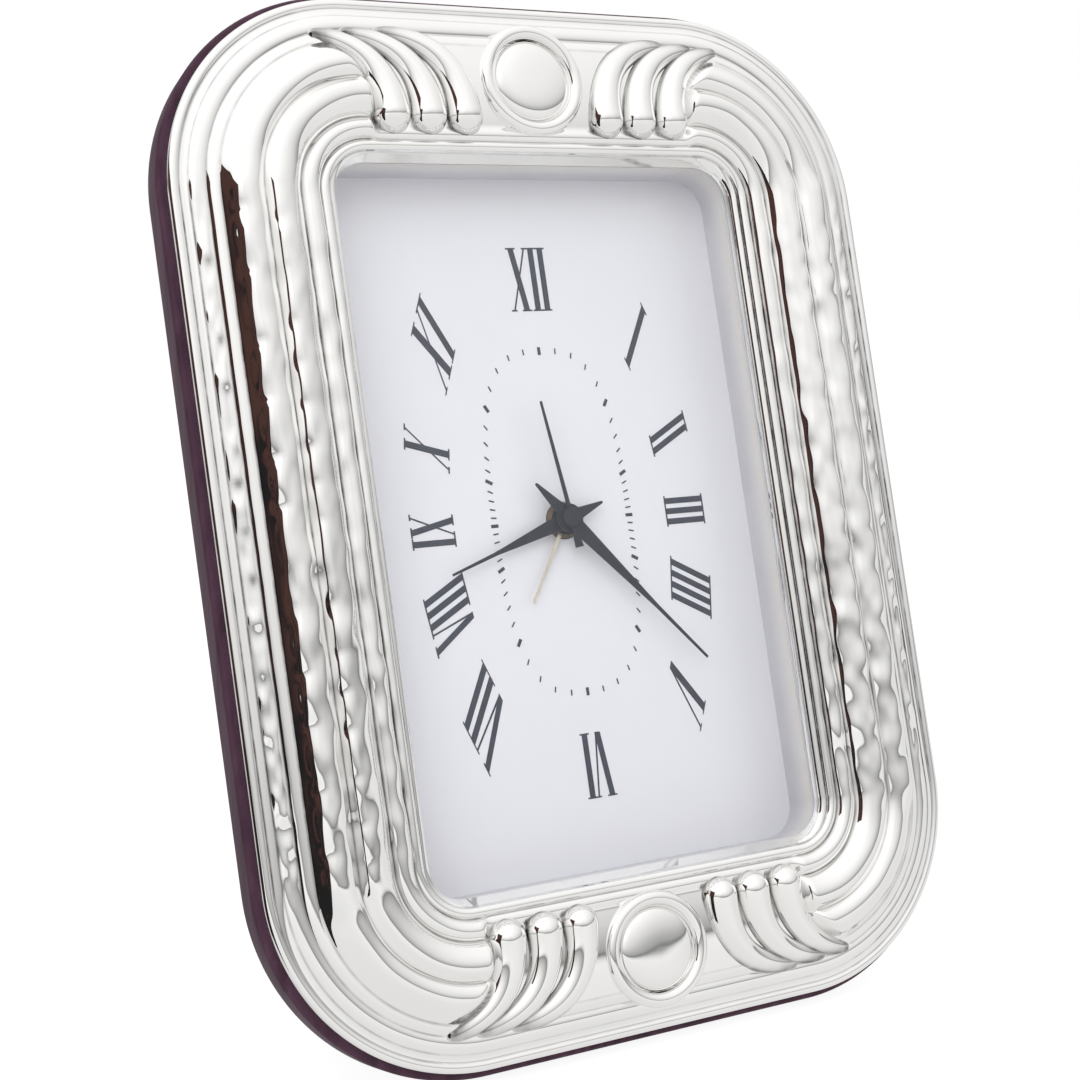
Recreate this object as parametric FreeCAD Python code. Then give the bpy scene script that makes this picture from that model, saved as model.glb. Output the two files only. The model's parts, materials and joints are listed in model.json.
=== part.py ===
import FreeCAD, Part
import math
import os

# A desk clock in a pressed silver frame on a lacquered wooden body, leaning back on a hinged wooden strut.
# Everything is modelled in the frame of the clock's own face: X to the right, Y to the back, Z up along the
# face, with the origin at the middle of the silver rim. The whole clock is then leaned back and set down.

# Face and border
lean_angle = 18.0
face_width = 140.0
face_height = 189.0
face_corner = 36.0
border_width = 28.0
rim_height = 2.0
sheet = 0.5
wall_run = 1.35
glass_seat_depth = 0.5
glass_pocket_width = 1.2

# Pressed section, from the outer edge in: width and height of each edge, and the rise of the arc before it
bead_end, bead_height, bead_rise = 1.7, 0.3, 0.45
cove_end, cove_height, cove_rise = 3.2, 0.7, -0.12
dent_end, dent_height, dent_rise = 6.2, 1.3, 0.65
slope_end, slope_height, slope_rise = 8.3, 2.3, 0.3
outer_flank_end, outer_flank_height, outer_flank_rise = 9.35, 4.65, -0.02
outer_shoulder_end, outer_shoulder_height, outer_shoulder_rise = 10.9, 5.75, 0.26
outer_crest_end, outer_crest_height, outer_crest_rise = 15.4, 4.1, 0.62
middle_flank_end, middle_flank_height, middle_flank_rise = 15.95, 5.3, -0.01
middle_shoulder_end, middle_shoulder_height, middle_shoulder_rise = 16.9, 5.85, 0.14
middle_crest_end, middle_crest_height, middle_crest_rise = 22.3, 2.7, 1.15
inner_ridge_end, inner_ridge_height, inner_ridge_rise = 26.0, 2.0, 1.4
lip_height, lip_rise = 1.6, 0.75
panel_rise = 0.5
panel_end, panel_end_height = 23.6, 2.2
small_ridge_rise = 0.5

# Medallions and lobes
medallion_inset = 14.6
medallion_ring_radius = 8.85
medallion_ring_bar = 1.3
medallion_ring_height = 4.0
medallion_disc_radius = 7.1
medallion_disc_base = 2.0
medallion_disc_rise = 2.3
lobe_bulb_radius = 3.5
lobe_tip_radius = 0.5
lobe_axis_height = 1.7
lobe_tip_height = 2.2
lobe_bulb_inset = 21.7
lobe_bend_inset = 7.6
lobe_tip_inset = 6.4
lobe_bulb_places = (14.6, 21.7, 28.8)
lobe_tip_places = (30.0, 36.4, 42.0)
lobe_tip_drop = 0.35
lobe_bend_drop = 0.9
lobe_shares = (0.0, 0.15, 0.3, 0.45, 0.6, 0.75, 0.88, 1.0)
bulb_cap_shares = (0.97, 0.8, 0.42)
lobe_taper_share = 0.6
field_margin = 0.7

# Wooden body
board_thickness = 6.0
board_overhang = 1.5
board_edge = 0.6
board_front_edge = 0.9
insert_clearance = 0.3
inner_frame_thickness = 6.0
inner_frame_step = 15.5
inner_frame_corner = 20.0
panel_thickness = 3.0

# Glass, gasket, surround and dial
glass_thickness = 1.5
glass_clearance = 0.2
gasket_thickness = 0.5
gasket_width = 1.8
surround_margin = 0.7
surround_wall = 2.7
dial_depth = 10.0
dial_thickness = 0.8
backing_thickness = 3.2
ink = 0.06

# Numerals
letter_thick = 1.15
letter_thin = 0.32
letter_serif = 0.3
foot_share, top_share = -0.5, 0.5
serif_reach = 0.42
stroke_pitch = 2.0
cross_advance = 4.3
cross_heavy_top, cross_heavy_foot = 1.1, 3.0
cross_fine_top, cross_fine_foot = 4.0, 0.3
vee_advance = 4.1
vee_heavy_top, vee_foot, vee_fine_top = 0.9, 2.35, 3.8
twelve_x, twelve_z = 0.0, 46.2
twelve_run_x, twelve_run_z, twelve_cut = 0.0, 12.2, 0.0
one_x, one_z = 21.5, 34.6
one_run_x, one_run_z, one_cut = 5.5, 11.0, 69.5
two_x, two_z = 25.7, 15.2
two_run_x, two_run_z, two_cut = 8.4, 4.7, 82.5
three_x, three_z = 26.8, 0.0
three_run_x, three_run_z, three_cut = 8.7, 0.0, 90.0

# Minute track
track_half_width = 14.3
track_half_height = 32.4
track_power = 3.0
tick_length, tick_width = 1.1, 0.26
minutes, five_minutes = 60, 5
full_turn = 360.0
five_tick_length, five_tick_width = 1.5, 0.62

# Hands: the clock shows about 8:23
hour_angle, minute_angle, second_angle, alarm_angle = 251.3, 138.7, 352.2, 211.2
hour_reach, hour_tail, hour_half_width, hour_boss = 26.3, 8.3, 1.6, 2.9
minute_reach, minute_tail, minute_half_width, minute_boss = 38.6, 9.2, 1.55, 2.75
second_reach, second_tail, second_half_width, second_boss = 22.3, 5.7, 0.42, 1.9
alarm_reach, alarm_half_width, alarm_boss = 17.6, 0.42, 3.0
hand_tip = 0.22
spear_share = 0.62
spear_half_width = 0.36
hand_thickness = 0.25
second_cap_height = 0.45
second_tail_half_width = 0.84
cap_round_share = 0.8
alarm_hand_depth = 8.9
hour_hand_depth = 8.0
minute_hand_depth = 7.1
second_hand_depth = 6.3

# Movement
movement_side = 56.0
movement_corner = 3.0
movement_depth = 16.0
case_wall = 1.2
flange_side = 62.0
flange_thickness = 1.2
front_plate_thickness = 1.5
window_clearance = 0.3
running = 0.05
bush_radius = 3.4
bush_stand = 0.4
dial_hole_clearance = 0.2
second_arbor_radius = 0.45
minute_tube_radius = 1.1
hour_tube_radius = 1.8
alarm_tube_radius = 2.5
arbor_radius = 0.5
pivot_depth = 0.4
battery_room_top = -12.2
partition = 1.2
battery_room_floor = -27.0
plate_gap = 0.2

# Wheels: module, teeth and places
train_module = 0.35
hand_module = 0.4
rotor_teeth = 8
intermediate_teeth, intermediate_pinion_teeth = 40, 8
second_teeth, second_pinion_teeth = 48, 8
third_teeth, third_pinion_teeth = 60, 8
centre_teeth = 64
cannon_teeth = 10
minute_teeth, minute_pinion_teeth = 30, 8
hour_teeth = 32
setting_teeth = 12
alarm_teeth, alarm_pinion_teeth = 30, 34
tooth_tip_share = 0.75
tooth_root_share = 1.1
tooth_width_share = 0.38
tooth_top_share = 0.5
tooth_foot_share = 1.15
third_direction = 110.0
intermediate_direction = 35.0
rotor_direction = 30.0
minute_direction = 190.0
setting_direction = 195.0
alarm_direction = -15.0

# Depths of the wheels behind the dial's back
first_layer = 1.9
wheel_thickness = 1.0
thin_wheel = 0.8
layer_step = 1.4
mid_plate_depth = 7.7
plate_thickness = 1.0
third_layer = 9.1
second_layer = 10.4
intermediate_layer = 11.7
bridge_depth = 13.1
pinion_overlap = 0.1
rotor_magnet_radius = 2.6
rotor_magnet_depth = 9.1
rotor_magnet_height = 1.6
post_radius = 0.8
post_clearance = 0.06
stem_radius = 1.2
alarm_stem_radius = 1.0
knob_gap = 0.3
knob_height = 4.0
time_knob_radius = 5.0
alarm_knob_radius = 4.4
knob_flutes = 18
flute_radius = 0.45
knob_slot_width, knob_slot_depth = 1.2, 0.8

# Motor, circuit, sound and power
stator_thickness = 0.8
stator_depth = 9.7
stator_gap = 0.3
stator_hub = 5.0
stator_arm = 3.4
coil_x = 22.5
coil_low, coil_high = 3.8, 17.8
coil_flange = 0.6
coil_sleeve_radius = 1.5
coil_radius = 2.0
core_width = 2.4
core_low, core_high = 0.2, 21.4
core_thickness = 0.8
board_left, board_right, board_low, board_high = -26.4, -15.6, 3.0, 21.0
circuit_thickness = 1.0
chip_radius, chip_height, chip_x, chip_z = 2.6, 1.0, -21.0, 8.0
chip_round_share = 0.6
crystal_radius, crystal_length, crystal_x, crystal_z = 1.0, 6.0, -21.0, 14.0
buzzer_radius, buzzer_x, buzzer_z = 4.6, 20.4, -5.6
buzzer_height, buzzer_wall = 3.0, 0.6
sound_hole_radius, sound_hole_ring, sound_holes = 0.6, 2.2, 5
first_hole_turn = 90.0
battery_radius, battery_length = 7.1, 49.0
nipple_radius, nipple_length = 2.7, 1.4
battery_left = -24.0
leaf_half_width, leaf_tip_half, leaf_root, leaf_end_gap = 2.0, 1.2, 1.0, 0.3
contact_thickness = 0.4
contact_half_width = 4.5
switch_x, switch_z = -20.0, 12.0
switch_travel = 4.0
switch_length, switch_width, switch_height = 3.0, 2.4, 1.6
switch_base_length, switch_base_width, switch_base_thickness = 11.6, 4.4, 0.5
switch_play = 0.1
post_corner = 24.2
case_post_radius = 2.0
case_screw_radius, case_screw_head, case_screw_head_height = 0.9, 1.7, 0.8

# Fasteners of the back panel
panel_screw_side_inset, panel_screw_end_inset = 6.0, 10.5
screw_radius, screw_head_radius, screw_head_height = 1.2, 2.6, 1.3
screw_bite = 5.5
screw_slot_width, screw_slot_depth = 0.6, 0.5
screw_hole_clearance = 0.2

# Strut and its hinge
strut_open_angle = 45.0
hinge_rise = 56.0
hinge_radius = 1.35
hinge_pin_radius = 0.8
hinge_half_width = 12.0
knuckles = 5
knuckle_gap = 0.2
leaf_thickness = 0.8
leaf_length = 8.0
leaf_start = 1.7
hinge_lift = 1.75
strut_thickness = 5.0
strut_inset = 0.85
strut_length = 70.0
slot_share = 0.6
strut_top_width, strut_foot_width = 36.0, 48.0
strut_slot_start = 2.0
strut_slot_clearance = 0.6
strut_seat_gap = 0.05
leaf_screw_radius, leaf_screw_head, leaf_screw_head_height = 0.9, 1.8, 0.5
leaf_screw_bite = 2.6
leaf_screw_x = 8.0
leaf_screw_run = 5.2

overrun = 1.0

# Places worked out from the sizes above
half_width = face_width / 2
half_height = face_height / 2
wall_end = border_width + wall_run
pocket_edge = border_width - glass_pocket_width
pane_edge = pocket_edge + glass_clearance
surround_width = face_width - 2 * (pane_edge - surround_margin)
surround_height = face_height - 2 * (pane_edge - surround_margin)
surround_corner = face_corner - pane_edge
inner_frame_width = face_width - 2 * (inner_frame_step - board_overhang)
inner_frame_height = face_height - 2 * (inner_frame_step - board_overhang)
panel_screw_x = inner_frame_width / 2 - panel_screw_side_inset
panel_screw_z = inner_frame_height / 2 - panel_screw_end_inset
hinge_z = hinge_rise - half_height
half_turn = full_turn / 2
board_front = rim_height
board_back = board_front + board_thickness
inner_frame_back = board_back + inner_frame_thickness
panel_back = inner_frame_back + panel_thickness
glass_front = glass_seat_depth
glass_back = glass_front + glass_thickness
gasket_back = glass_back + gasket_thickness
dial_back = dial_depth + dial_thickness
backing_back = dial_back + backing_thickness
plate_back = dial_back + front_plate_thickness
case_back = dial_back + movement_depth
case_inner_back = case_back - case_wall
case_half = movement_side / 2
case_inner = case_half - case_wall
alarm_layer = dial_back + first_layer
hour_layer = alarm_layer + layer_step
minute_layer = hour_layer + layer_step
centre_layer = minute_layer + layer_step + pinion_overlap
mid_front = dial_back + mid_plate_depth
mid_back = mid_front + plate_thickness
third_front = dial_back + third_layer
second_front = dial_back + second_layer
intermediate_front = dial_back + intermediate_layer
bridge_front = dial_back + bridge_depth
bridge_back = bridge_front + plate_thickness
train_low = battery_room_top + partition
hinge_y = panel_back + hinge_lift
stator_front = dial_back + stator_depth
battery_y = (plate_back + case_back) / 2
battery_z = (battery_room_top + battery_room_floor) / 2

V = FreeCAD.Vector
back = V(0, 1, 0)


def block(x_low, x_high, y_low, y_high, z_low, z_high):
    """A box between two corners."""
    return Part.makeBox(x_high - x_low, y_high - y_low, z_high - z_low, V(x_low, y_low, z_low))


def rod(radius, y_low, y_high, x=0.0, z=0.0):
    """A cylinder along Y."""
    return Part.makeCylinder(radius, y_high - y_low, V(x, y_low, z), back)


def tube(outer, inner, y_low, y_high, x=0.0, z=0.0):
    """A tube along Y."""
    return rod(outer, y_low, y_high, x, z).cut(rod(inner, y_low - overrun, y_high + overrun, x, z))


def plate_outline(width, height, corner, y, x_mid=0.0, z_mid=0.0):
    """The wire of a rounded rectangle that faces along Y."""
    half_w, half_h = width / 2, height / 2
    diagonal = corner * math.sqrt(2) / 2
    edges = []
    for sign_x, sign_z in ((1, 1), (-1, 1), (-1, -1), (1, -1)):
        cx, cz = x_mid + sign_x * (half_w - corner), z_mid + sign_z * (half_h - corner)
        side = V(cx + sign_x * corner, y, cz)
        cap = V(cx, y, cz + sign_z * corner)
        middle = V(cx + sign_x * diagonal, y, cz + sign_z * diagonal)
        first, last = (side, cap) if sign_x == sign_z else (cap, side)
        if edges:
            edges.append(Part.makeLine(edges[-1].lastVertex().Point, first))
        edges.append(Part.Arc(first, middle, last).toShape())
    edges.append(Part.makeLine(edges[-1].lastVertex().Point, edges[0].firstVertex().Point))
    return Part.Wire(edges)


def plate(width, height, corner, y_low, y_high, x_mid=0.0, z_mid=0.0):
    """A rounded plate that faces along Y."""
    face = Part.Face(plate_outline(width, height, corner, y_low, x_mid, z_mid))
    return face.extrude(V(0, y_high - y_low, 0))


def polygon_prism(points, y_low, y_high):
    """A prism along Y over an outline of (x, z) points."""
    corners = [V(x, y_low, z) for x, z in points]
    return Part.Face(Part.makePolygon(corners + corners[:1])).extrude(V(0, y_high - y_low, 0))


def polar(distance, degrees, x=0.0, z=0.0):
    """The point at a distance and a direction from (x, z)."""
    angle = math.radians(degrees)
    return x + distance * math.cos(angle), z + distance * math.sin(angle)


# Pressed front
def section_steps(ridged):
    """The edges of the pressed section: its end's inset and height, and the rise of its arc."""
    steps = [(bead_end, bead_height, bead_rise), (cove_end, cove_height, cove_rise),
             (dent_end, dent_height, dent_rise), (slope_end, slope_height, slope_rise)]
    if ridged:
        steps.append((outer_flank_end, outer_flank_height, outer_flank_rise))
        steps.append((outer_shoulder_end, outer_shoulder_height, outer_shoulder_rise))
        steps.append((outer_crest_end, outer_crest_height, outer_crest_rise))
        steps.append((middle_flank_end, middle_flank_height, middle_flank_rise))
        steps.append((middle_shoulder_end, middle_shoulder_height, middle_shoulder_rise))
        steps.append((middle_crest_end, middle_crest_height, middle_crest_rise))
        steps.append((inner_ridge_end, inner_ridge_height, inner_ridge_rise))
    else:
        steps.append((panel_end, panel_end_height, panel_rise))
        steps.append((inner_ridge_end, inner_ridge_height, small_ridge_rise))
    steps.append((border_width, lip_height, lip_rise))
    return steps


def section_face(ridged, skin, place):
    """The pressed section as a face. skin is how far it lies under the outer surface, and place turns
    (inset, height) into a point."""
    steps = section_steps(ridged)
    start = (skin, -skin)
    edges = [Part.makeLine(place(skin, -board_front), place(*start))]
    for number, (inset, height, rise) in enumerate(steps):
        last = number == len(steps) - 1
        end = (inset - (skin if last else 0), height - skin)
        middle = ((start[0] + end[0]) / 2, (start[1] + end[1]) / 2 + rise)
        edges.append(Part.Arc(place(*start), place(*middle), place(*end)).toShape())
        start = end
    corners = [start, (wall_end - skin, -glass_front), (pocket_edge, -glass_front),
               (pocket_edge, -board_front),
               (skin, -board_front)]
    for first, second in zip(corners, corners[1:]):
        edges.append(Part.makeLine(place(*first), place(*second)))
    return Part.Face(Part.Wire(edges))


def medallion(skin):
    """A ring and a domed disc in the middle of the top border."""
    z = half_height - medallion_inset
    ring = Part.makeTorus(medallion_ring_radius, medallion_ring_bar - skin,
                          V(0, -medallion_ring_height + medallion_ring_bar, z), back)
    sphere_radius = (medallion_disc_radius ** 2 + medallion_disc_rise ** 2) / (2 * medallion_disc_rise)
    crest = medallion_disc_base + medallion_disc_rise
    dome = Part.makeSphere(sphere_radius - skin, V(0, -(crest - sphere_radius), z))
    keep = rod(medallion_disc_radius - skin, -crest - overrun, -medallion_disc_base + medallion_disc_rise,
               0, z)
    return [ring, dome.common(keep)]


def lobe_station(share, bulb_x, tip_x, drop):
    """A lobe's place, heading and radius at a share of its length. Heading turns from +Z towards +X."""
    foot = (bulb_x, half_height - lobe_bulb_inset)
    bend = (bulb_x, half_height - lobe_bend_inset - lobe_bend_drop * drop)
    tip = (tip_x, half_height - lobe_tip_inset - lobe_tip_drop * drop)
    rest = 1 - share
    x = rest ** 2 * foot[0] + 2 * rest * share * bend[0] + share ** 2 * tip[0]
    z = rest ** 2 * foot[1] + 2 * rest * share * bend[1] + share ** 2 * tip[1]
    run_x = rest * (bend[0] - foot[0]) + share * (tip[0] - bend[0])
    run_z = rest * (bend[1] - foot[1]) + share * (tip[1] - bend[1])
    radius = lobe_tip_radius + (lobe_bulb_radius - lobe_tip_radius) * rest ** lobe_taper_share
    return x, z, math.atan2(run_x, run_z), radius


def lobe(bulb_x, tip_x, drop, skin):
    """One curved lobe: round at its foot beside the opening, drawn out to a tip towards the corner."""
    rings = []
    for share in bulb_cap_shares:
        reach = lobe_bulb_radius * share
        radius = math.sqrt(lobe_bulb_radius ** 2 - reach ** 2)
        rings.append((bulb_x, half_height - lobe_bulb_inset - reach, 0.0, radius, lobe_axis_height))
    for share in lobe_shares:
        height = (1 - share) * lobe_axis_height + share * lobe_tip_height
        rings.append(lobe_station(share, bulb_x, tip_x, drop) + (height,))
    wires = []
    for x, z, heading, radius, height in rings:
        along = V(math.sin(heading), 0, math.cos(heading))
        circle = Part.Circle(V(x, -height, z), along, max(radius - skin, sheet / 2))
        wires.append(Part.Wire(circle.toShape()))
    return Part.makeLoft(wires, True, False)


def field_prism(skin):
    """The room between the outermost lobes, where the border is a plain panel instead of ridges."""
    margin = field_margin + skin
    bulb_x, tip_x = lobe_bulb_places[-1], lobe_tip_places[-1]
    points = []
    for share in lobe_shares:
        x, z, heading, radius = lobe_station(share, bulb_x, tip_x, len(lobe_bulb_places) - 1)
        points.append(V(x + (radius + margin) * math.cos(heading), 0,
                        z - (radius + margin) * math.sin(heading)))
    curve = Part.BSplineCurve()
    curve.interpolate(points)
    low = V(points[0].x, 0, half_height - wall_end - overrun)
    high = V(points[-1].x + margin, 0, half_height + overrun)
    right = [Part.makeLine(low, points[0]), curve.toShape(), Part.makeLine(points[-1], high)]
    left = [edge.mirror(V(0, 0, 0), V(1, 0, 0)) for edge in right]
    top = Part.makeLine(high, V(-high.x, 0, high.z))
    bottom = Part.makeLine(V(-low.x, 0, low.z), low)
    wire = Part.Wire(Part.__sortEdges__(right + [top] + left + [bottom]))
    face = Part.Face(wire)
    face.translate(V(0, -border_width, 0))
    return face.extrude(V(0, 2 * border_width, 0))


def ornaments(skin):
    """Both medallions and all lobes, mirrored left to right and top to bottom."""
    places = enumerate(zip(lobe_bulb_places, lobe_tip_places))
    quarter = [lobe(bulb, tip, number, skin) for number, (bulb, tip) in places]
    half = quarter + [piece.mirror(V(0, 0, 0), V(1, 0, 0)) for piece in quarter] + medallion(skin)
    return half + [piece.mirror(V(0, 0, 0), V(0, 0, 1)) for piece in half]


def section_ring(ridged, skin):
    """The pressed section carried once around the border."""
    mid_x, mid_z = half_width - face_corner, half_height - face_corner
    side = section_face(ridged, skin, lambda inset, height: V(half_width - inset, -height, -mid_z))
    side = side.extrude(V(0, 0, 2 * mid_z))
    top = section_face(ridged, skin, lambda inset, height: V(-mid_x, -height, half_height - inset))
    top = top.extrude(V(2 * mid_x, 0, 0))
    corner = section_face(ridged, skin, lambda inset, height: V(half_width - inset, -height, mid_z))
    corner = corner.revolve(V(mid_x, 0, mid_z), V(0, -1, 0), 90)
    pieces = [side, side.mirror(V(0, 0, 0), V(1, 0, 0)), top, top.mirror(V(0, 0, 0), V(0, 0, 1))]
    for across in (False, True):
        for down in (False, True):
            copy = corner.copy()
            copy = copy.mirror(V(0, 0, 0), V(1, 0, 0)) if across else copy
            copy = copy.mirror(V(0, 0, 0), V(0, 0, 1)) if down else copy
            pieces.append(copy)
    return pieces[0].multiFuse(pieces[1:])


def pressed_border(skin):
    """The border as one solid down to the wooden body, with its ridges, panels, medallions and lobes."""
    field = field_prism(skin)
    fields = [field, field.mirror(V(0, 0, 0), V(0, 0, 1))]
    ridges = section_ring(True, skin).cut(fields)
    panels = [section_ring(False, skin).common(room) for room in fields]
    return ridges.multiFuse(panels + ornaments(skin))


def under_body(shape):
    """The shape without anything behind the wooden body's front."""
    behind = block(-face_width, face_width, board_front, board_front + face_width, -face_height, face_height)
    return shape.cut(behind)


def make_front():
    """The silver sheet and the filler under it."""
    outer = under_body(pressed_border(0.0))
    filler = under_body(pressed_border(sheet))
    return outer.cut(filler), filler


# Wooden body, glass and dial
def make_board():
    """The rounded wooden body with its opening and softened edges."""
    body = plate(face_width + 2 * board_overhang, face_height + 2 * board_overhang,
                 face_corner + board_overhang,
                 board_front, board_back)
    front_edges = [edge for edge in body.Edges if abs(edge.CenterOfMass.y - board_front) < board_edge / 2]
    body = body.makeFillet(board_front_edge, front_edges)
    back_edges = [edge for edge in body.Edges if abs(edge.CenterOfMass.y - board_back) < board_edge / 2]
    body = body.makeFillet(board_edge, back_edges)
    return body.cut(insert_room(board_front - overrun, board_back + overrun))


def insert_room(y_low, y_high):
    """The room that the dial insert takes in the wooden pieces."""
    grow = 2 * insert_clearance
    return plate(surround_width + grow, surround_height + grow, surround_corner + insert_clearance, y_low,
                 y_high)


def make_inner_frame():
    """The wooden frame glued behind the body."""
    outer = plate(inner_frame_width, inner_frame_height, inner_frame_corner, board_back, inner_frame_back)
    frame = outer.cut(insert_room(board_back - overrun, inner_frame_back + overrun))
    for x, z in panel_screw_places():
        frame = frame.cut(rod(screw_radius, inner_frame_back - screw_bite, inner_frame_back + overrun, x, z))
    return frame


def make_glass():
    """The flat pane in its pocket."""
    shrink = 2 * (pocket_edge + glass_clearance)
    corner = face_corner - pocket_edge - glass_clearance
    return plate(face_width - shrink, face_height - shrink, corner, glass_front, glass_back)


def make_gasket():
    """The soft ring between the pane and the surround."""
    shrink = 2 * (pocket_edge + glass_clearance)
    corner = face_corner - pocket_edge - glass_clearance
    width, height = face_width - shrink, face_height - shrink
    ring = plate(width, height, corner, glass_back, gasket_back)
    hole = plate(width - 2 * gasket_width, height - 2 * gasket_width, corner - gasket_width,
                 glass_back - overrun,
                 gasket_back + overrun)
    return ring.cut(hole)


def make_surround():
    """The pale wall between the pane and the dial."""
    ring = plate(surround_width, surround_height, surround_corner, gasket_back, dial_depth)
    hole = plate(surround_width - 2 * surround_wall, surround_height - 2 * surround_wall,
                 surround_corner - surround_wall, gasket_back - overrun, dial_depth + overrun)
    return ring.cut(hole)


def make_dial():
    """The dial plate with its centre hole."""
    disc = plate(surround_width, surround_height, surround_corner, dial_depth, dial_back)
    return disc.cut(rod(bush_radius + dial_hole_clearance, dial_depth - overrun, dial_back + overrun))


def make_backing():
    """The plate behind the dial, with the pocket that holds the movement's flange."""
    body = plate(surround_width, surround_height, surround_corner, dial_back, backing_back)
    pocket_side = flange_side + 2 * window_clearance
    window_side = movement_side + 2 * window_clearance
    pocket = plate(pocket_side, pocket_side, movement_corner, dial_back - overrun,
                   dial_back + flange_thickness)
    window = plate(window_side, window_side, movement_corner, dial_back, backing_back + overrun)
    return body.cut(pocket).cut(window)


def panel_screw_places():
    """The six screws of the back panel."""
    return [(sign * panel_screw_x, z) for sign in (-1, 1) for z in (-panel_screw_z, 0.0, panel_screw_z)]


def make_back_panel():
    """The back panel with the movement's window and the screw holes."""
    body = plate(inner_frame_width, inner_frame_height, inner_frame_corner, inner_frame_back, panel_back)
    window_side = movement_side + 2 * window_clearance
    body = body.cut(plate(window_side, window_side, movement_corner, inner_frame_back - overrun,
                          panel_back + overrun))
    for x, z in panel_screw_places():
        body = body.cut(rod(screw_radius + screw_hole_clearance, inner_frame_back - overrun,
                            panel_back + overrun, x, z))
    for sign in (-1, 1):
        hole = rod(leaf_screw_radius, panel_back - leaf_screw_bite, panel_back + overrun, sign * leaf_screw_x,
                   hinge_z + leaf_screw_run)
        body = body.cut(hole)
    return body


def slotted_screw(shank, head, head_height, y_seat, bite, x, z):
    """A screw that goes in towards the front, with its head behind y_seat."""
    screw = rod(shank, y_seat - bite, y_seat, x, z).fuse(rod(head, y_seat, y_seat + head_height, x, z))
    top = y_seat + head_height
    slot = block(x - head - overrun, x + head + overrun, top - screw_slot_depth, top + overrun,
                 z - screw_slot_width / 2, z + screw_slot_width / 2)
    return screw.cut(slot)


def make_panel_screws():
    """The screws that hold the back panel."""
    bite = panel_thickness + screw_bite
    return Part.makeCompound([slotted_screw(screw_radius, screw_head_radius, screw_head_height, panel_back,
                                            bite, x, z)
                              for x, z in panel_screw_places()])


# Numerals and minute track
def quadrilateral(corners, y_low, y_high):
    """A thin prism over four (x, z) corners."""
    return polygon_prism(corners, y_low, y_high)


class Lettering:
    """One numeral laid out along the cut of the track, with every stroke pointing at the middle."""

    def __init__(self, x, z, run_x, run_z, cut_x, cut_z):
        length = math.hypot(run_x, run_z)
        spread = abs(cut_x * run_z - cut_z * run_x) / length
        self.x, self.z = x, z
        self.run = (run_x, run_z)
        self.cut = (cut_x / spread, cut_z / spread)
        self.length = length

    def point(self, across, along):
        """The place of a point: across in real size from the middle, along as a share of the run."""
        x = self.x + across * self.cut[0] + along * self.run[0]
        return (x, self.z + across * self.cut[1] + along * self.run[1])

    def stroke(self, foot, top, width):
        """A stroke from the foot line to the top line."""
        half = width / 2
        corners = [self.point(foot - half, foot_share), self.point(foot + half, foot_share),
                   self.point(top + half, top_share), self.point(top - half, top_share)]
        return quadrilateral(corners, dial_depth - ink, dial_depth)

    def serif(self, middle, width, end):
        """A thin bar across a stroke's end."""
        half = width / 2 + serif_reach
        inner = end * (top_share - letter_serif / self.length)
        outer = end * top_share
        corners = [self.point(middle - half, inner), self.point(middle + half, inner),
                   self.point(middle + half, outer), self.point(middle - half, outer)]
        return quadrilateral(corners, dial_depth - ink, dial_depth)

    def letter(self, name, start):
        """The strokes of I, V or X that starts at start."""
        if name == "I":
            middle = start + stroke_pitch / 2
            return [self.stroke(middle, middle, letter_thick), self.serif(middle, letter_thick, 1),
                    self.serif(middle, letter_thick, -1)]
        if name == "V":
            top, foot, fine = start + vee_heavy_top, start + vee_foot, start + vee_fine_top
            return [self.stroke(foot, top, letter_thick), self.stroke(foot + letter_thin, fine, letter_thin),
                    self.serif(top, letter_thick, 1), self.serif(fine, letter_thin, 1)]
        top, foot = start + cross_heavy_top, start + cross_heavy_foot
        fine_top, fine_foot = start + cross_fine_top, start + cross_fine_foot
        return [self.stroke(foot, top, letter_thick), self.stroke(fine_foot, fine_top, letter_thin),
                self.serif(top, letter_thick, 1), self.serif(foot, letter_thick, -1),
                self.serif(fine_top, letter_thin, 1), self.serif(fine_foot, letter_thin, -1)]

    def word(self, text):
        """All letters of a numeral, centred, as one solid."""
        advance = {"I": stroke_pitch, "V": vee_advance, "X": cross_advance}
        start = -sum(advance[name] for name in text) / 2
        pieces = []
        for name in text:
            pieces += self.letter(name, start)
            start += advance[name]
        return pieces[0].multiFuse(pieces[1:]) if len(pieces) > 1 else pieces[0]


def numeral_layout(hour):
    """The place, stroke run and cut direction of an hour's numeral."""
    quadrant = ((twelve_x, twelve_z, twelve_run_x, twelve_run_z, twelve_cut),
                (one_x, one_z, one_run_x, one_run_z, one_cut),
                (two_x, two_z, two_run_x, two_run_z, two_cut),
                (three_x, three_z, three_run_x, three_run_z, three_cut))
    step = hour % 12
    right = step <= 6
    upper = step <= 3 or step >= 9
    fold = min(step, 12 - step)
    x, z, run_x, run_z, cut = quadrant[fold if fold <= 3 else 6 - fold]
    sign_x = 1 if right else -1
    sign_z = 1 if upper else -1
    cut_x = math.cos(math.radians(cut)) * sign_z
    cut_z = -math.sin(math.radians(cut)) * sign_x
    return x * sign_x, z * sign_z, run_x * sign_x, run_z * sign_z, cut_x, cut_z


def make_numerals():
    """The printed hour numerals."""
    words = ("XII", "I", "II", "III", "IIII", "V", "VI", "VII", "VIII", "IX", "X", "XI")
    return Part.makeCompound([Lettering(*numeral_layout(hour)).word(text) for hour, text in enumerate(words)])


def track_radius(degrees):
    """Distance from the middle to the minute track at a clock angle."""
    angle = math.radians(degrees)
    across = abs(math.sin(angle)) / track_half_width
    up = abs(math.cos(angle)) / track_half_height
    return (across ** track_power + up ** track_power) ** (-1 / track_power)


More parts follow.
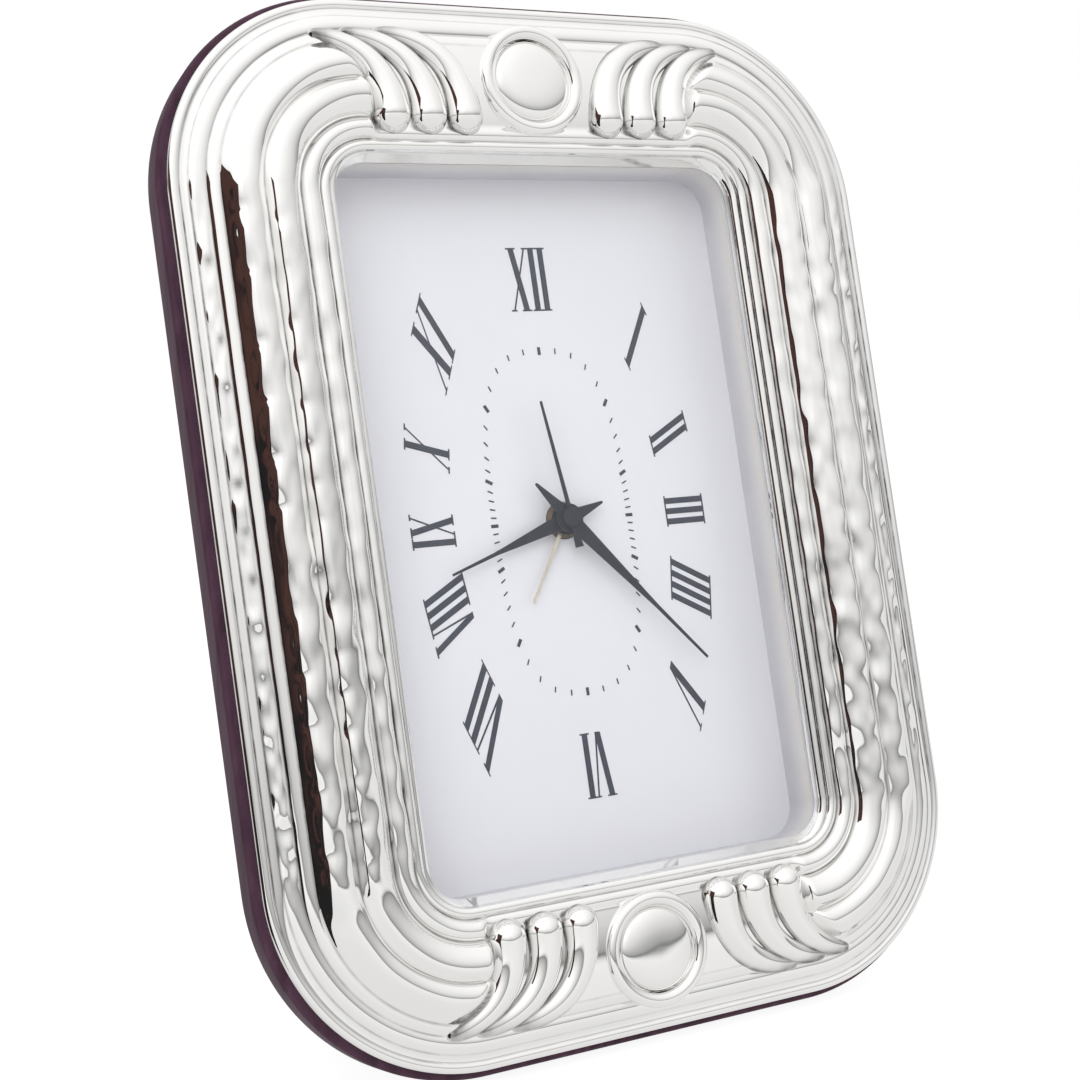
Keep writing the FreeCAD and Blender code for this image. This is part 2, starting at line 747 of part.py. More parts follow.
def make_minute_track():
    """Sixty printed ticks on a tall rounded oval."""
    ticks = []
    for minute in range(minutes):
        degrees = full_turn * minute / minutes
        fifth = minute % five_minutes == 0
        length, width = (five_tick_length, five_tick_width) if fifth else (tick_length, tick_width)
        radius = track_radius(degrees)
        tick = block(-width / 2, width / 2, dial_depth - ink, dial_depth, radius - length / 2,
                     radius + length / 2)
        tick.rotate(V(0, 0, 0), back, degrees)
        ticks.append(tick)
    return Part.makeCompound(ticks)


# Hands
def turn_hand(shape, degrees):
    """A hand drawn pointing at twelve, turned to its clock angle."""
    shape.rotate(V(0, 0, 0), back, degrees)
    return shape


def make_spear_hand(reach, tail, half, boss, hole, depth, degrees):
    """A tapered hand with a fine spear, a pointed tail and a round boss."""
    shoulder = reach * spear_share
    blade = [(-half, 0), (-spear_half_width, shoulder), (-hand_tip, reach), (hand_tip, reach),
             (spear_half_width, shoulder),
             (half, 0), (hand_tip, -tail), (-hand_tip, -tail)]
    front, rear = depth, depth + hand_thickness
    hand = polygon_prism(blade, front, rear).fuse(rod(boss, front, rear)).cut(rod(hole, front - overrun,
                                                                                  rear + overrun))
    return turn_hand(hand, degrees)


def make_second_hand():
    """The thin second hand with its tail and its cap."""
    front, rear = second_hand_depth, second_hand_depth + hand_thickness
    half, tail_half = second_half_width, second_tail_half_width
    blade = [(-half, 0), (-hand_tip, second_reach), (hand_tip, second_reach), (half, 0),
             (tail_half, -second_tail),
             (-tail_half, -second_tail)]
    hand = polygon_prism(blade, front, rear)
    cap = rod(second_boss, front - second_cap_height, rear)
    rim = [edge for edge in cap.Edges if abs(edge.CenterOfMass.y - (front - second_cap_height)) < running]
    cap = cap.makeFillet(second_cap_height * cap_round_share, rim)
    hand = hand.fuse(cap).cut(rod(second_arbor_radius, front, rear + overrun))
    return turn_hand(hand, second_angle)


def make_alarm_hand():
    """The fine alarm hand."""
    front, rear = alarm_hand_depth, alarm_hand_depth + hand_thickness
    blade = [(-alarm_half_width, 0), (-hand_tip, alarm_reach), (hand_tip, alarm_reach), (alarm_half_width, 0)]
    hand = polygon_prism(blade, front, rear).fuse(rod(alarm_boss, front, rear))
    return turn_hand(hand.cut(rod(alarm_tube_radius, front - overrun, rear + overrun)), alarm_angle)


# Wheels
def gear(teeth, module, y_low, y_high, x, z, phase):
    """A toothed disc. One tooth points along phase, in degrees from +X towards +Z."""
    radius = teeth * module / 2
    tip, root = radius + tooth_tip_share * module, radius - tooth_root_share * module
    pitch = full_turn / teeth
    half = pitch * tooth_width_share / 2
    points = []
    for tooth in range(teeth):
        centre = phase + tooth * pitch
        for distance, offset in ((root, -tooth_foot_share), (radius, -1), (tip, -tooth_top_share),
                                 (tip, tooth_top_share),
                                 (radius, 1), (root, tooth_foot_share)):
            points.append(polar(distance, centre + offset * half, x, z))
    return polygon_prism(points, y_low, y_high)


def mesh_phase(direction, own_teeth, other_teeth, other_phase):
    """The phase of a gear that meshes with another one, seen from the other along direction."""
    other_pitch, own_pitch = full_turn / other_teeth, full_turn / own_teeth
    share = ((direction - other_phase) / other_pitch) % 1
    return direction + 180 + (share + 0.5) * own_pitch


def centre_distance(first, second, module):
    """The distance between two meshed gears."""
    return (first + second) * module / 2


class Train:
    """The places and phases of all wheels in the movement."""

    def __init__(self):
        self.third_distance = centre_distance(second_pinion_teeth, third_teeth, train_module)
        self.third = polar(self.third_distance, third_direction)
        self.centre_module = 2 * self.third_distance / (third_pinion_teeth + centre_teeth)
        self.intermediate = polar(centre_distance(second_teeth, intermediate_pinion_teeth, train_module),
                                  intermediate_direction)
        self.rotor = polar(centre_distance(intermediate_teeth, rotor_teeth, train_module), rotor_direction,
                           *self.intermediate)
        self.minute = polar(centre_distance(cannon_teeth, minute_teeth, hand_module), minute_direction)
        self.setting = polar(centre_distance(minute_teeth, setting_teeth, hand_module), setting_direction,
                             *self.minute)
        self.alarm = polar(centre_distance(alarm_teeth, alarm_pinion_teeth, hand_module), alarm_direction)
        self.minute_phase = mesh_phase(minute_direction, minute_teeth, cannon_teeth, 0.0)
        self.hour_phase = mesh_phase(minute_direction + half_turn, hour_teeth, minute_pinion_teeth, 0.0)


train = Train()


def make_second_wheel():
    """The second hand's arbor with its wheel and pinion."""
    arbor = rod(second_arbor_radius, second_hand_depth, bridge_front + pivot_depth)
    wheel = gear(second_teeth, train_module, second_front, second_front + thin_wheel, 0, 0, 0.0)
    pinion = gear(second_pinion_teeth, train_module, third_front - pinion_overlap, second_front, 0, 0, 0.0)
    return arbor.multiFuse([wheel, pinion])


def make_third_wheel():
    """The wheel between the second wheel and the centre wheel."""
    x, z = train.third
    arbor = rod(arbor_radius, plate_back - pivot_depth, bridge_front + pivot_depth, x, z)
    phase = mesh_phase(third_direction, third_teeth, second_pinion_teeth, 0.0)
    wheel = gear(third_teeth, train_module, third_front, third_front + thin_wheel, x, z, phase)
    pinion = gear(third_pinion_teeth, train.centre_module, centre_layer - pinion_overlap,
                  centre_layer + wheel_thickness + pinion_overlap, x, z, 0.0)
    return arbor.multiFuse([wheel, pinion])


def make_centre_wheel():
    """The wheel that drives the minute arbor through its slip fit."""
    phase = mesh_phase(third_direction + half_turn, centre_teeth, third_pinion_teeth, 0.0)
    wheel = gear(centre_teeth, train.centre_module, centre_layer, centre_layer + wheel_thickness, 0, 0, phase)
    return wheel.cut(rod(minute_tube_radius + running, centre_layer - overrun,
                         centre_layer + wheel_thickness + overrun))


def make_intermediate_wheel():
    """The wheel between the rotor and the second wheel."""
    x, z = train.intermediate
    arbor = rod(arbor_radius, mid_back - pivot_depth, bridge_front + pivot_depth, x, z)
    phase = mesh_phase(intermediate_direction, intermediate_pinion_teeth, second_teeth, 0.0)
    pinion = gear(intermediate_pinion_teeth, train_module, second_front - pinion_overlap,
                  intermediate_front, x, z, phase)
    wheel = gear(intermediate_teeth, train_module, intermediate_front, intermediate_front + thin_wheel, x,
                 z, 0.0)
    return arbor.multiFuse([wheel, pinion])


def make_rotor():
    """The motor's magnet with its pinion."""
    x, z = train.rotor
    arbor = rod(arbor_radius, mid_back - pivot_depth, bridge_front + pivot_depth, x, z)
    magnet_front = dial_back + rotor_magnet_depth
    magnet = rod(rotor_magnet_radius, magnet_front, magnet_front + rotor_magnet_height, x, z)
    phase = mesh_phase(rotor_direction, rotor_teeth, intermediate_teeth, 0.0)
    pinion = gear(rotor_teeth, train_module, intermediate_front - pinion_overlap,
                  intermediate_front + thin_wheel + pinion_overlap, x, z, phase)
    return arbor.multiFuse([magnet, pinion])


def make_minute_arbor():
    """The minute hand's tube with the cannon pinion."""
    end = centre_layer + wheel_thickness + 2 * pinion_overlap
    body = rod(minute_tube_radius, minute_hand_depth, end)
    body = body.fuse(gear(cannon_teeth, hand_module, minute_layer - pinion_overlap,
                          minute_layer + wheel_thickness, 0, 0, 0.0))
    return body.cut(rod(second_arbor_radius + running, minute_hand_depth - overrun, end + overrun))


def make_minute_wheel():
    """The reduction wheel on its post."""
    x, z = train.minute
    wheel = gear(minute_teeth, hand_module, minute_layer, minute_layer + wheel_thickness, x, z,
                 train.minute_phase)
    pinion = gear(minute_pinion_teeth, hand_module, hour_layer - pinion_overlap, minute_layer, x, z, 0.0)
    bore = rod(post_radius + post_clearance, hour_layer - overrun, minute_layer + wheel_thickness + overrun,
               x, z)
    return wheel.fuse(pinion).cut(bore)


def make_hour_wheel():
    """The hour hand's tube and wheel."""
    body = rod(hour_tube_radius, hour_hand_depth, hour_layer + wheel_thickness)
    body = body.fuse(gear(hour_teeth, hand_module, hour_layer, hour_layer + wheel_thickness, 0, 0,
                          train.hour_phase))
    return body.cut(rod(minute_tube_radius + running, hour_hand_depth - overrun,
                        hour_layer + wheel_thickness + overrun))


def make_alarm_wheel():
    """The alarm hand's tube and wheel."""
    body = rod(alarm_tube_radius, alarm_hand_depth, alarm_layer + wheel_thickness)
    body = body.fuse(gear(alarm_teeth, hand_module, alarm_layer, alarm_layer + wheel_thickness, 0, 0, 0.0))
    return body.cut(rod(hour_tube_radius + running, alarm_hand_depth - overrun,
                        alarm_layer + wheel_thickness + overrun))


def make_knob(radius, stem, teeth, layer, phase, place):
    """A knob outside the case with its stem and its pinion inside."""
    x, z = place
    front = case_back + knob_gap
    grip = rod(radius, front, front + knob_height, x, z)
    for number in range(knob_flutes):
        flute_x, flute_z = polar(radius, full_turn * number / knob_flutes, x, z)
        grip = grip.cut(rod(flute_radius, front - overrun, front + knob_height + overrun, flute_x, flute_z))
    slot = block(x - radius / 2, x + radius / 2, front + knob_height - knob_slot_depth,
                 front + knob_height + overrun,
                 z - knob_slot_width / 2, z + knob_slot_width / 2)
    shaft = rod(stem, plate_back - pivot_depth, front, x, z)
    pinion = gear(teeth, hand_module, layer, layer + wheel_thickness, x, z, phase)
    return grip.cut(slot).multiFuse([shaft, pinion])


def make_time_knob():
    """The knob that sets the hands."""
    phase = mesh_phase(setting_direction, setting_teeth, minute_teeth, train.minute_phase)
    return make_knob(time_knob_radius, stem_radius, setting_teeth, minute_layer, phase, train.setting)


def make_alarm_knob():
    """The knob that sets the alarm hand."""
    phase = mesh_phase(alarm_direction, alarm_pinion_teeth, alarm_teeth, 0.0)
    return make_knob(alarm_knob_radius, alarm_stem_radius, alarm_pinion_teeth, alarm_layer, phase,
                     train.alarm)


# Movement plates and case
def make_front_plate():
    """The movement's front plate with its flange, bush, pivot holes and post."""
    body = plate(flange_side, flange_side, movement_corner, dial_back, dial_back + flange_thickness)
    body = body.fuse(plate(movement_side, movement_side, movement_corner, dial_back, plate_back))
    body = body.fuse(rod(bush_radius, dial_depth - bush_stand, plate_back))
    body = body.fuse(rod(post_radius, dial_back, minute_layer + wheel_thickness, *train.minute))
    body = body.cut(rod(alarm_tube_radius + running, dial_depth - overrun, plate_back + overrun))
    for place, radius in ((train.third, arbor_radius), (train.setting, stem_radius),
                          (train.alarm, alarm_stem_radius)):
        body = body.cut(rod(radius + running, plate_back - pivot_depth, plate_back + overrun, *place))
    for sign in (-1, 1):
        body = body.cut(rod(case_screw_radius, dial_back, plate_back + overrun, sign * post_corner,
                            post_corner))
    return body


def make_case():
    """The movement's case: train room, open battery room, posts, knob holes, switch slot and sound holes."""
    body = plate(movement_side, movement_side, movement_corner, plate_back, case_back)
    room = block(-case_inner, case_inner, plate_back - overrun, case_inner_back, train_low, case_inner)
    battery_room = block(-case_inner, case_inner, plate_back - overrun, case_back + overrun,
                         battery_room_floor,
                         battery_room_top)
    body = body.cut(room).cut(battery_room)
    for sign in (-1, 1):
        body = body.fuse(rod(case_post_radius, plate_back, case_inner_back, sign * post_corner, post_corner))
    for sign in (-1, 1):
        body = body.cut(rod(case_screw_radius, plate_back - overrun, case_back + overrun,
                            sign * post_corner, post_corner))
    for place, radius in ((train.setting, stem_radius), (train.alarm, alarm_stem_radius)):
        body = body.cut(rod(radius + running, case_inner_back - overrun, case_back + overrun, *place))
    slot_half = (switch_length + switch_travel) / 2 + running
    body = body.cut(block(switch_x - switch_width / 2 - running, switch_x + switch_width / 2 + running,
                          case_inner_back - overrun, case_back + overrun, switch_z - slot_half,
                          switch_z + slot_half))
    for number in range(sound_holes):
        x, z = polar(sound_hole_ring, first_hole_turn + full_turn * number / sound_holes, buzzer_x, buzzer_z)
        body = body.cut(rod(sound_hole_radius, case_inner_back - overrun, case_back + overrun, x, z))
    return body


def inner_plate(y_low, y_high, holes):
    """A plate that fills the train room, notched for the posts, with round holes."""
    limit = case_inner - plate_gap
    body = block(-limit, limit, y_low, y_high, train_low + plate_gap, limit)
    for sign in (-1, 1):
        notch = rod(case_post_radius + plate_gap, y_low - overrun, y_high + overrun, sign * post_corner,
                    post_corner)
        corner = block(min(sign * post_corner, sign * case_half), max(sign * post_corner, sign * case_half),
                       y_low - overrun, y_high + overrun, post_corner - case_post_radius - plate_gap,
                       case_half)
        inner = block(min(sign * (post_corner - case_post_radius - plate_gap), sign * case_half),
                      max(sign * (post_corner - case_post_radius - plate_gap), sign * case_half),
                      y_low - overrun, y_high + overrun, post_corner, case_half)
        body = body.cut(notch).cut(corner).cut(inner)
    for place, radius in holes:
        body = body.cut(rod(radius + running, y_low - overrun, y_high + overrun, *place))
    return body


def make_mid_plate():
    """The plate between the hand wheels and the motor's wheels."""
    holes = [((0.0, 0.0), second_arbor_radius), (train.third, arbor_radius),
             (train.intermediate, arbor_radius),
             (train.rotor, arbor_radius), (train.setting, stem_radius), (train.alarm, alarm_stem_radius)]
    return inner_plate(mid_front, mid_back, holes)


def make_bridge():
    """The bridge that carries the wheels' rear pivots, open around the buzzer."""
    holes = [((0.0, 0.0), second_arbor_radius), (train.third, arbor_radius),
             (train.intermediate, arbor_radius),
             (train.rotor, arbor_radius), (train.setting, stem_radius), (train.alarm, alarm_stem_radius),
             ((buzzer_x, buzzer_z), buzzer_radius + plate_gap)]
    return inner_plate(bridge_front, bridge_back, holes)


def make_case_screws():
    """The two screws of the case."""
    bite = case_back - dial_back - pivot_depth
    return Part.makeCompound([slotted_screw(case_screw_radius, case_screw_head, case_screw_head_height,
                                            case_back, bite,
                                            sign * post_corner, post_corner) for sign in (-1, 1)])


# Motor, circuit, sound and power
def make_stator():
    """The laminated stator around the rotor, with an arm to each end of the coil."""
    front, rear = stator_front, stator_front + stator_thickness
    x, z = train.rotor
    half_arm = stator_arm / 2
    body = rod(stator_hub, front, rear, x, z)
    body = body.fuse(block(x - half_arm, x + half_arm, front, rear, core_low, core_high))
    for end in (core_low, core_high - stator_arm):
        body = body.fuse(block(x - half_arm, coil_x + core_width / 2, front, rear, end, end + stator_arm))
    return body.cut(rod(rotor_magnet_radius + stator_gap, front - overrun, rear + overrun, x, z))


def make_coil_core():
    """The coil's iron core, lying on the stator's arms."""
    front = stator_front + stator_thickness
    return block(coil_x - core_width / 2, coil_x + core_width / 2, front, front + core_thickness, core_low,
                 core_high)


def upright_rod(radius, z_low, z_high):
    """A cylinder along Z around the middle of the coil."""
    centre_y = stator_front + stator_thickness + core_thickness / 2
    return Part.makeCylinder(radius, z_high - z_low, V(coil_x, centre_y, z_low), V(0, 0, 1))


def make_coil_bobbin():
    """The sleeve and the two flanges that carry the winding."""
    body = upright_rod(coil_sleeve_radius, coil_low, coil_high)
    body = body.fuse(upright_rod(coil_radius, coil_low, coil_low + coil_flange))
    body = body.fuse(upright_rod(coil_radius, coil_high - coil_flange, coil_high))
    return body.cut(make_coil_core())


def make_coil_winding():
    """The copper winding."""
    low, high = coil_low + coil_flange, coil_high - coil_flange
    body = upright_rod(coil_radius - coil_flange / 2, low, high)
    return body.cut(upright_rod(coil_sleeve_radius, low - overrun, high + overrun))


def make_circuit_board():
    """The circuit board on the middle plate."""
    return block(board_left, board_right, mid_back, mid_back + circuit_thickness, board_low, board_high)


def make_chip():
    """The sealed chip on the circuit board."""
    front = mid_back + circuit_thickness
    body = rod(chip_radius, front, front + chip_height, chip_x, chip_z)
    rim = [edge for edge in body.Edges if abs(edge.CenterOfMass.y - front - chip_height) < running]
    return body.makeFillet(chip_height * chip_round_share, rim)


def make_crystal():
    """The quartz crystal in its can."""
    centre_y = mid_back + circuit_thickness + crystal_radius
    return Part.makeCylinder(crystal_radius, crystal_length,
                             V(crystal_x - crystal_length / 2, centre_y, crystal_z), V(1, 0, 0))


def make_buzzer():
    """The buzzer under the sound holes."""
    body = rod(buzzer_radius, case_inner_back - buzzer_height, case_inner_back, buzzer_x, buzzer_z)
    chamber = rod(buzzer_radius - buzzer_wall, case_inner_back - buzzer_height + buzzer_wall,
                  case_inner_back + overrun,
                  buzzer_x, buzzer_z)
    return body.cut(chamber)


def make_battery():
    """The round cell, lying across the movement."""
    body = Part.makeCylinder(battery_radius, battery_length, V(battery_left, battery_y, battery_z),
                             V(1, 0, 0))
    nipple = Part.makeCylinder(nipple_radius, nipple_length,
                               V(battery_left + battery_length, battery_y, battery_z), V(1, 0, 0))
    return body.fuse(nipple)


def make_contact_plus():
    """The flat contact at the cell's raised end."""
    inner = battery_left + battery_length + nipple_length
    return block(inner, case_inner, battery_y - contact_half_width, battery_y + contact_half_width,
                 battery_z - contact_half_width, battery_z + contact_half_width)


def make_contact_minus():
    """The contact at the cell's flat end: a plate on the wall with a bent leaf that presses on the cell."""
    wall = -case_inner
    face = wall + contact_thickness
    body = block(wall, face, battery_y - contact_half_width, battery_y + contact_half_width,
                 battery_z - contact_half_width, battery_z + contact_half_width)
    low, high = battery_z - contact_half_width, battery_z + contact_half_width - leaf_root
    tip_low, tip_high = battery_z - leaf_tip_half, battery_z + leaf_tip_half
    inner = battery_left - contact_thickness
    end = face + leaf_end_gap
    strip = [(face, low), (battery_left, tip_low), (battery_left, tip_high), (end + contact_thickness, high),
             (end, high), (inner, tip_high), (inner, tip_low), (face, low + leaf_root)]
    return body.fuse(polygon_prism(strip, battery_y - leaf_half_width, battery_y + leaf_half_width))


def make_alarm_switch():
    """The slide that switches the alarm, at the lower end of its travel."""
    low = switch_z - switch_travel / 2
    front = bridge_back + switch_play
    body = block(switch_x - switch_base_width / 2, switch_x + switch_base_width / 2, front,
                 front + switch_base_thickness,
                 low - switch_base_length / 2, low + switch_base_length / 2)
    grip = block(switch_x - switch_width / 2, switch_x + switch_width / 2, front, case_back + switch_height,
                 low - switch_length / 2, low + switch_length / 2)
    return body.fuse(grip)


# Strut and hinge, drawn folded flat against the back panel and then opened
def open_strut(shape):
    """The shape swung out to the strut's open place."""
    shape.rotate(V(0, hinge_y, hinge_z), V(1, 0, 0), strut_open_angle)
    return shape


def floor_half_space():
    """Everything below the surface on which the clock rests, in the frame of the face."""
    angle = math.radians(lean_angle)
    edge_y, edge_z = board_back - board_edge, -(half_height + board_overhang - board_edge)
    down = V(0, math.sin(angle), -math.cos(angle))
    size = 2 * face_height
    slab = Part.makeBox(size, size, size, V(-size / 2, -size / 2, -size))
    slab.rotate(V(0, 0, 0), V(1, 0, 0), lean_angle)
    slab.translate(V(0, edge_y, edge_z) + down * board_edge)
    return slab


def make_strut():
    """The wooden leg, bevelled to rest on the panel when open and slotted for the hinge."""
    inner = hinge_y - strut_inset
    outer = inner + strut_thickness
    top, foot = hinge_z + 2 * strut_thickness, hinge_z - strut_length
    body = polygon_prism([(-strut_top_width / 2, top), (strut_top_width / 2, top),
                          (strut_foot_width / 2, foot),
                          (-strut_foot_width / 2, foot)], inner, outer)
    slot_half = hinge_half_width + strut_slot_clearance
    body = body.cut(block(-slot_half, slot_half, inner - overrun, outer + overrun,
                          hinge_z - strut_slot_start, top + overrun))
    for sign in (-1, 1):
        hole = rod(leaf_screw_radius, inner - overrun, inner + leaf_screw_bite, sign * leaf_screw_x,
                   hinge_z - leaf_screw_run)
        body = body.cut(hole)
    body = open_strut(body)
    body = body.cut(block(-face_width, face_width, -face_width, panel_back + strut_seat_gap, -face_height,
                          face_height))
    return body.cut(floor_half_space())


def knuckle_spans(first):
    """Where the knuckles of one leaf lie along X, from knuckle number first in steps of two."""
    pitch = 2 * hinge_half_width / knuckles
    spans = []
    for number in range(first, knuckles, 2):
        low = -hinge_half_width + number * pitch
        spans.append((low + knuckle_gap / 2, low + pitch - knuckle_gap / 2))
    return spans


def make_leaf(upward, first, y_low, bore, hole_y_low):
    """One leaf with its knuckles and two sunk screw holes. upward is 1 or -1."""
    y_high = y_low + leaf_thickness
    near, far = hinge_z + upward * leaf_start, hinge_z + upward * leaf_length
    body = block(-hinge_half_width, hinge_half_width, y_low, y_high, min(near, far), max(near, far))
    for x_low, x_high in knuckle_spans(first):
        body = body.fuse(block(x_low, x_high, y_low, y_high, min(hinge_z, near), max(hinge_z, near)))
        body = body.fuse(Part.makeCylinder(hinge_radius, x_high - x_low, V(x_low, hinge_y, hinge_z),
                                           V(1, 0, 0)))
    for sign in (-1, 1):
        x, z = sign * leaf_screw_x, hinge_z + upward * leaf_screw_run
        body = body.cut(rod(leaf_screw_radius, y_low - overrun, y_high + overrun, x, z))
        body = body.cut(rod(leaf_screw_head, hole_y_low, hole_y_low + leaf_screw_head_height, x, z))
    start = V(-hinge_half_width - overrun, hinge_y, hinge_z)
    return body.cut(Part.makeCylinder(bore, 2 * (hinge_half_width + overrun), start, V(1, 0, 0)))


def make_panel_leaf():
    """The hinge leaf on the back panel."""
    sunk = panel_back + leaf_thickness - leaf_screw_head_height
    return make_leaf(1, 0, panel_back, hinge_pin_radius, sunk)


def make_strut_leaf():
    """The hinge leaf on the strut."""
    front = hinge_y - strut_inset - leaf_thickness
    return open_strut(make_leaf(-1, 1, front, hinge_pin_radius + running, front))


def make_hinge_pin():
    """The hinge's pin."""
    start = V(-hinge_half_width, hinge_y, hinge_z)
    return Part.makeCylinder(hinge_pin_radius, 2 * hinge_half_width, start, V(1, 0, 0))


def make_panel_leaf_screws():
    """The two sunk screws of the panel's leaf."""
    seat = panel_back + leaf_thickness - leaf_screw_head_height
    screws = []
    for sign in (-1, 1):
        x, z = sign * leaf_screw_x, hinge_z + leaf_screw_run
        shank = rod(leaf_screw_radius, panel_back - leaf_screw_bite, seat, x, z)
        head = rod(leaf_screw_head, seat, seat + leaf_screw_head_height, x, z)
        screws.append(shank.fuse(head).cut(screw_slot(x, z, seat + leaf_screw_head_height, 1)))
    return Part.makeCompound(screws)


def screw_slot(x, z, y_top, outward):
    """The driver's slot of a small sunk head. outward is 1 when the head faces the back."""
    depth = leaf_screw_head_height * slot_share
    y_low = y_top - depth if outward > 0 else y_top - overrun
    y_high = y_top + overrun if outward > 0 else y_top + depth
    half = screw_slot_width / 2
    return block(x - leaf_screw_head - overrun, x + leaf_screw_head + overrun, y_low, y_high, z - half,
                 z + half)


def make_strut_leaf_screws():
    """The two sunk screws of the strut's leaf."""
    front = hinge_y - strut_inset - leaf_thickness
    screws = []
    for sign in (-1, 1):
        x, z = sign * leaf_screw_x, hinge_z - leaf_screw_run
        head = rod(leaf_screw_head, front, front + leaf_screw_head_height, x, z)
        shank = rod(leaf_screw_radius, front + leaf_screw_head_height,
                    hinge_y - strut_inset + leaf_screw_bite, x, z)
        screws.append(head.fuse(shank).cut(screw_slot(x, z, front, -1)))
    return open_strut(Part.makeCompound(screws))


def build_nodes():
    """Every node of the clock in the frame of the face."""
    front, filler = make_front()
    nodes = {"silver_front": front, "frame_filler": filler}
    makers = (("wooden_board", make_board), ("inner_frame", make_inner_frame),
              ("back_panel", make_back_panel), ("panel_screws", make_panel_screws),
              ("glass", make_glass), ("glass_gasket", make_gasket),
              ("dial_surround", make_surround), ("dial_plate", make_dial),
              ("dial_numerals", make_numerals), ("minute_track", make_minute_track),
              ("backing_plate", make_backing), ("second_hand", make_second_hand),
              ("alarm_hand", make_alarm_hand), ("movement_front_plate", make_front_plate),
              ("movement_case", make_case), ("mid_plate", make_mid_plate),
              ("train_bridge", make_bridge), ("case_screws", make_case_screws),
              ("rotor", make_rotor), ("intermediate_wheel", make_intermediate_wheel),
              ("second_wheel", make_second_wheel), ("third_wheel", make_third_wheel),
              ("centre_wheel", make_centre_wheel), ("minute_arbor", make_minute_arbor),
              ("minute_wheel", make_minute_wheel), ("hour_wheel", make_hour_wheel),
              ("alarm_wheel", make_alarm_wheel), ("time_knob", make_time_knob),
              ("alarm_knob", make_alarm_knob), ("stator", make_stator),
              ("coil_core", make_coil_core), ("coil_bobbin", make_coil_bobbin),
              ("coil_winding", make_coil_winding), ("circuit_board", make_circuit_board),
              ("circuit_chip", make_chip), ("quartz_crystal", make_crystal),
              ("buzzer", make_buzzer), ("battery", make_battery),
              ("contact_plus", make_contact_plus), ("contact_minus", make_contact_minus),
              ("alarm_switch", make_alarm_switch), ("strut", make_strut),
              ("panel_leaf", make_panel_leaf), ("strut_leaf", make_strut_leaf),
              ("hinge_pin", make_hinge_pin), ("panel_leaf_screws", make_panel_leaf_screws),
              ("strut_leaf_screws", make_strut_leaf_screws))
    for name, maker in makers:
        nodes[name] = maker()
    nodes["hour_hand"] = make_spear_hand(hour_reach, hour_tail, hour_half_width, hour_boss, hour_tube_radius,
                                         hour_hand_depth, hour_angle)
    nodes["minute_hand"] = make_spear_hand(minute_reach, minute_tail, minute_half_width, minute_boss,
                                           minute_tube_radius,
                                           minute_hand_depth, minute_angle)
    return nodes


def stand_up(nodes):
    """All nodes leaned back, with the middle of the box's bottom at the origin."""
    for shape in nodes.values():
        shape.rotate(V(0, 0, 0), V(1, 0, 0), -lean_angle)
    box = Part.makeCompound(list(nodes.values())).optimalBoundingBox(False, False)
    shift = V(-(box.XMin + box.XMax) / 2, -(box.YMin + box.YMax) / 2, -box.ZMin)
    for shape in nodes.values():
        shape.translate(shift)
    return shift


os.makedirs("parts", exist_ok=True)
clock = build_nodes()
moved = stand_up(clock)
print("face frame origin", round(moved.x, 4), round(moved.y, 4), round(moved.z, 4))
for name, shape in clock.items():
    shape.exportStep("parts/" + name + ".step")
    print(name, "valid" if shape.isValid() else "NOT VALID", len(shape.Solids), round(shape.Volume, 3))
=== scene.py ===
"""The looks of a desk clock set in a pressed silver frame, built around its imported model.

Sizes are in millimetres in the frame of the clock's face: X to the right, Y to the back, Z up along the face,
with the origin at the middle of the silver rim. FaceFrame turns them into metres in the frame of the model.
"""

import json
import logging
import math
from dataclasses import dataclass, replace
from enum import Enum

import bmesh
import bpy
import numpy as np
from mathutils import Matrix, Vector

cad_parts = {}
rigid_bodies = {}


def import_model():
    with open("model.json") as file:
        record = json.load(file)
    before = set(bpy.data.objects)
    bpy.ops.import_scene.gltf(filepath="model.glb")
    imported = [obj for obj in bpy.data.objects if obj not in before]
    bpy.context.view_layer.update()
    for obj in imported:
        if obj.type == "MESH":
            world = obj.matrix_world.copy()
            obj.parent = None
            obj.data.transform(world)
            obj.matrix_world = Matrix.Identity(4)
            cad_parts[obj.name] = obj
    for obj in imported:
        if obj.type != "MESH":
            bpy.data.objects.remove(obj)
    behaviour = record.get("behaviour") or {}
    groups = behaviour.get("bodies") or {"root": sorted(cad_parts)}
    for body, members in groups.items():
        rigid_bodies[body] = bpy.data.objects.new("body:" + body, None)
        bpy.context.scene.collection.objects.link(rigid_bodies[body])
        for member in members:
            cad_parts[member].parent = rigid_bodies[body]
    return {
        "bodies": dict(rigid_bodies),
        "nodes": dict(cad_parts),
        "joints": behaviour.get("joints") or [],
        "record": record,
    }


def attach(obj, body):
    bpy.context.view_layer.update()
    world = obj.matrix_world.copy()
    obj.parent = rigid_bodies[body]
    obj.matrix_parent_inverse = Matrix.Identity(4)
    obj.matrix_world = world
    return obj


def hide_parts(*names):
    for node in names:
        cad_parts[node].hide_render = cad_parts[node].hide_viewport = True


LOG = logging.getLogger("photo_frame_clock")
MM = 0.001
# name of the point attribute that paints the silver darker: patina and painted shade in the creases, painted shade
# where the lobes meet the panel
TARNISH_AND_SHADE = "tarnish_and_shade"
# in metres: points nearer than this are one, on new surfaces and on the model's own
MERGE_NEW, MERGE_OWN = 1e-7, 1e-6
WHITE = (1.0, 1.0, 1.0, 1.0)
# between these two heights lies nearly all of a noise texture
NOISE_LOW, NOISE_HIGH = 0.3, 0.7

Array = np.ndarray
Color = tuple[float, float, float]
Piece = bpy.types.Object
Socket = bpy.types.NodeSocket


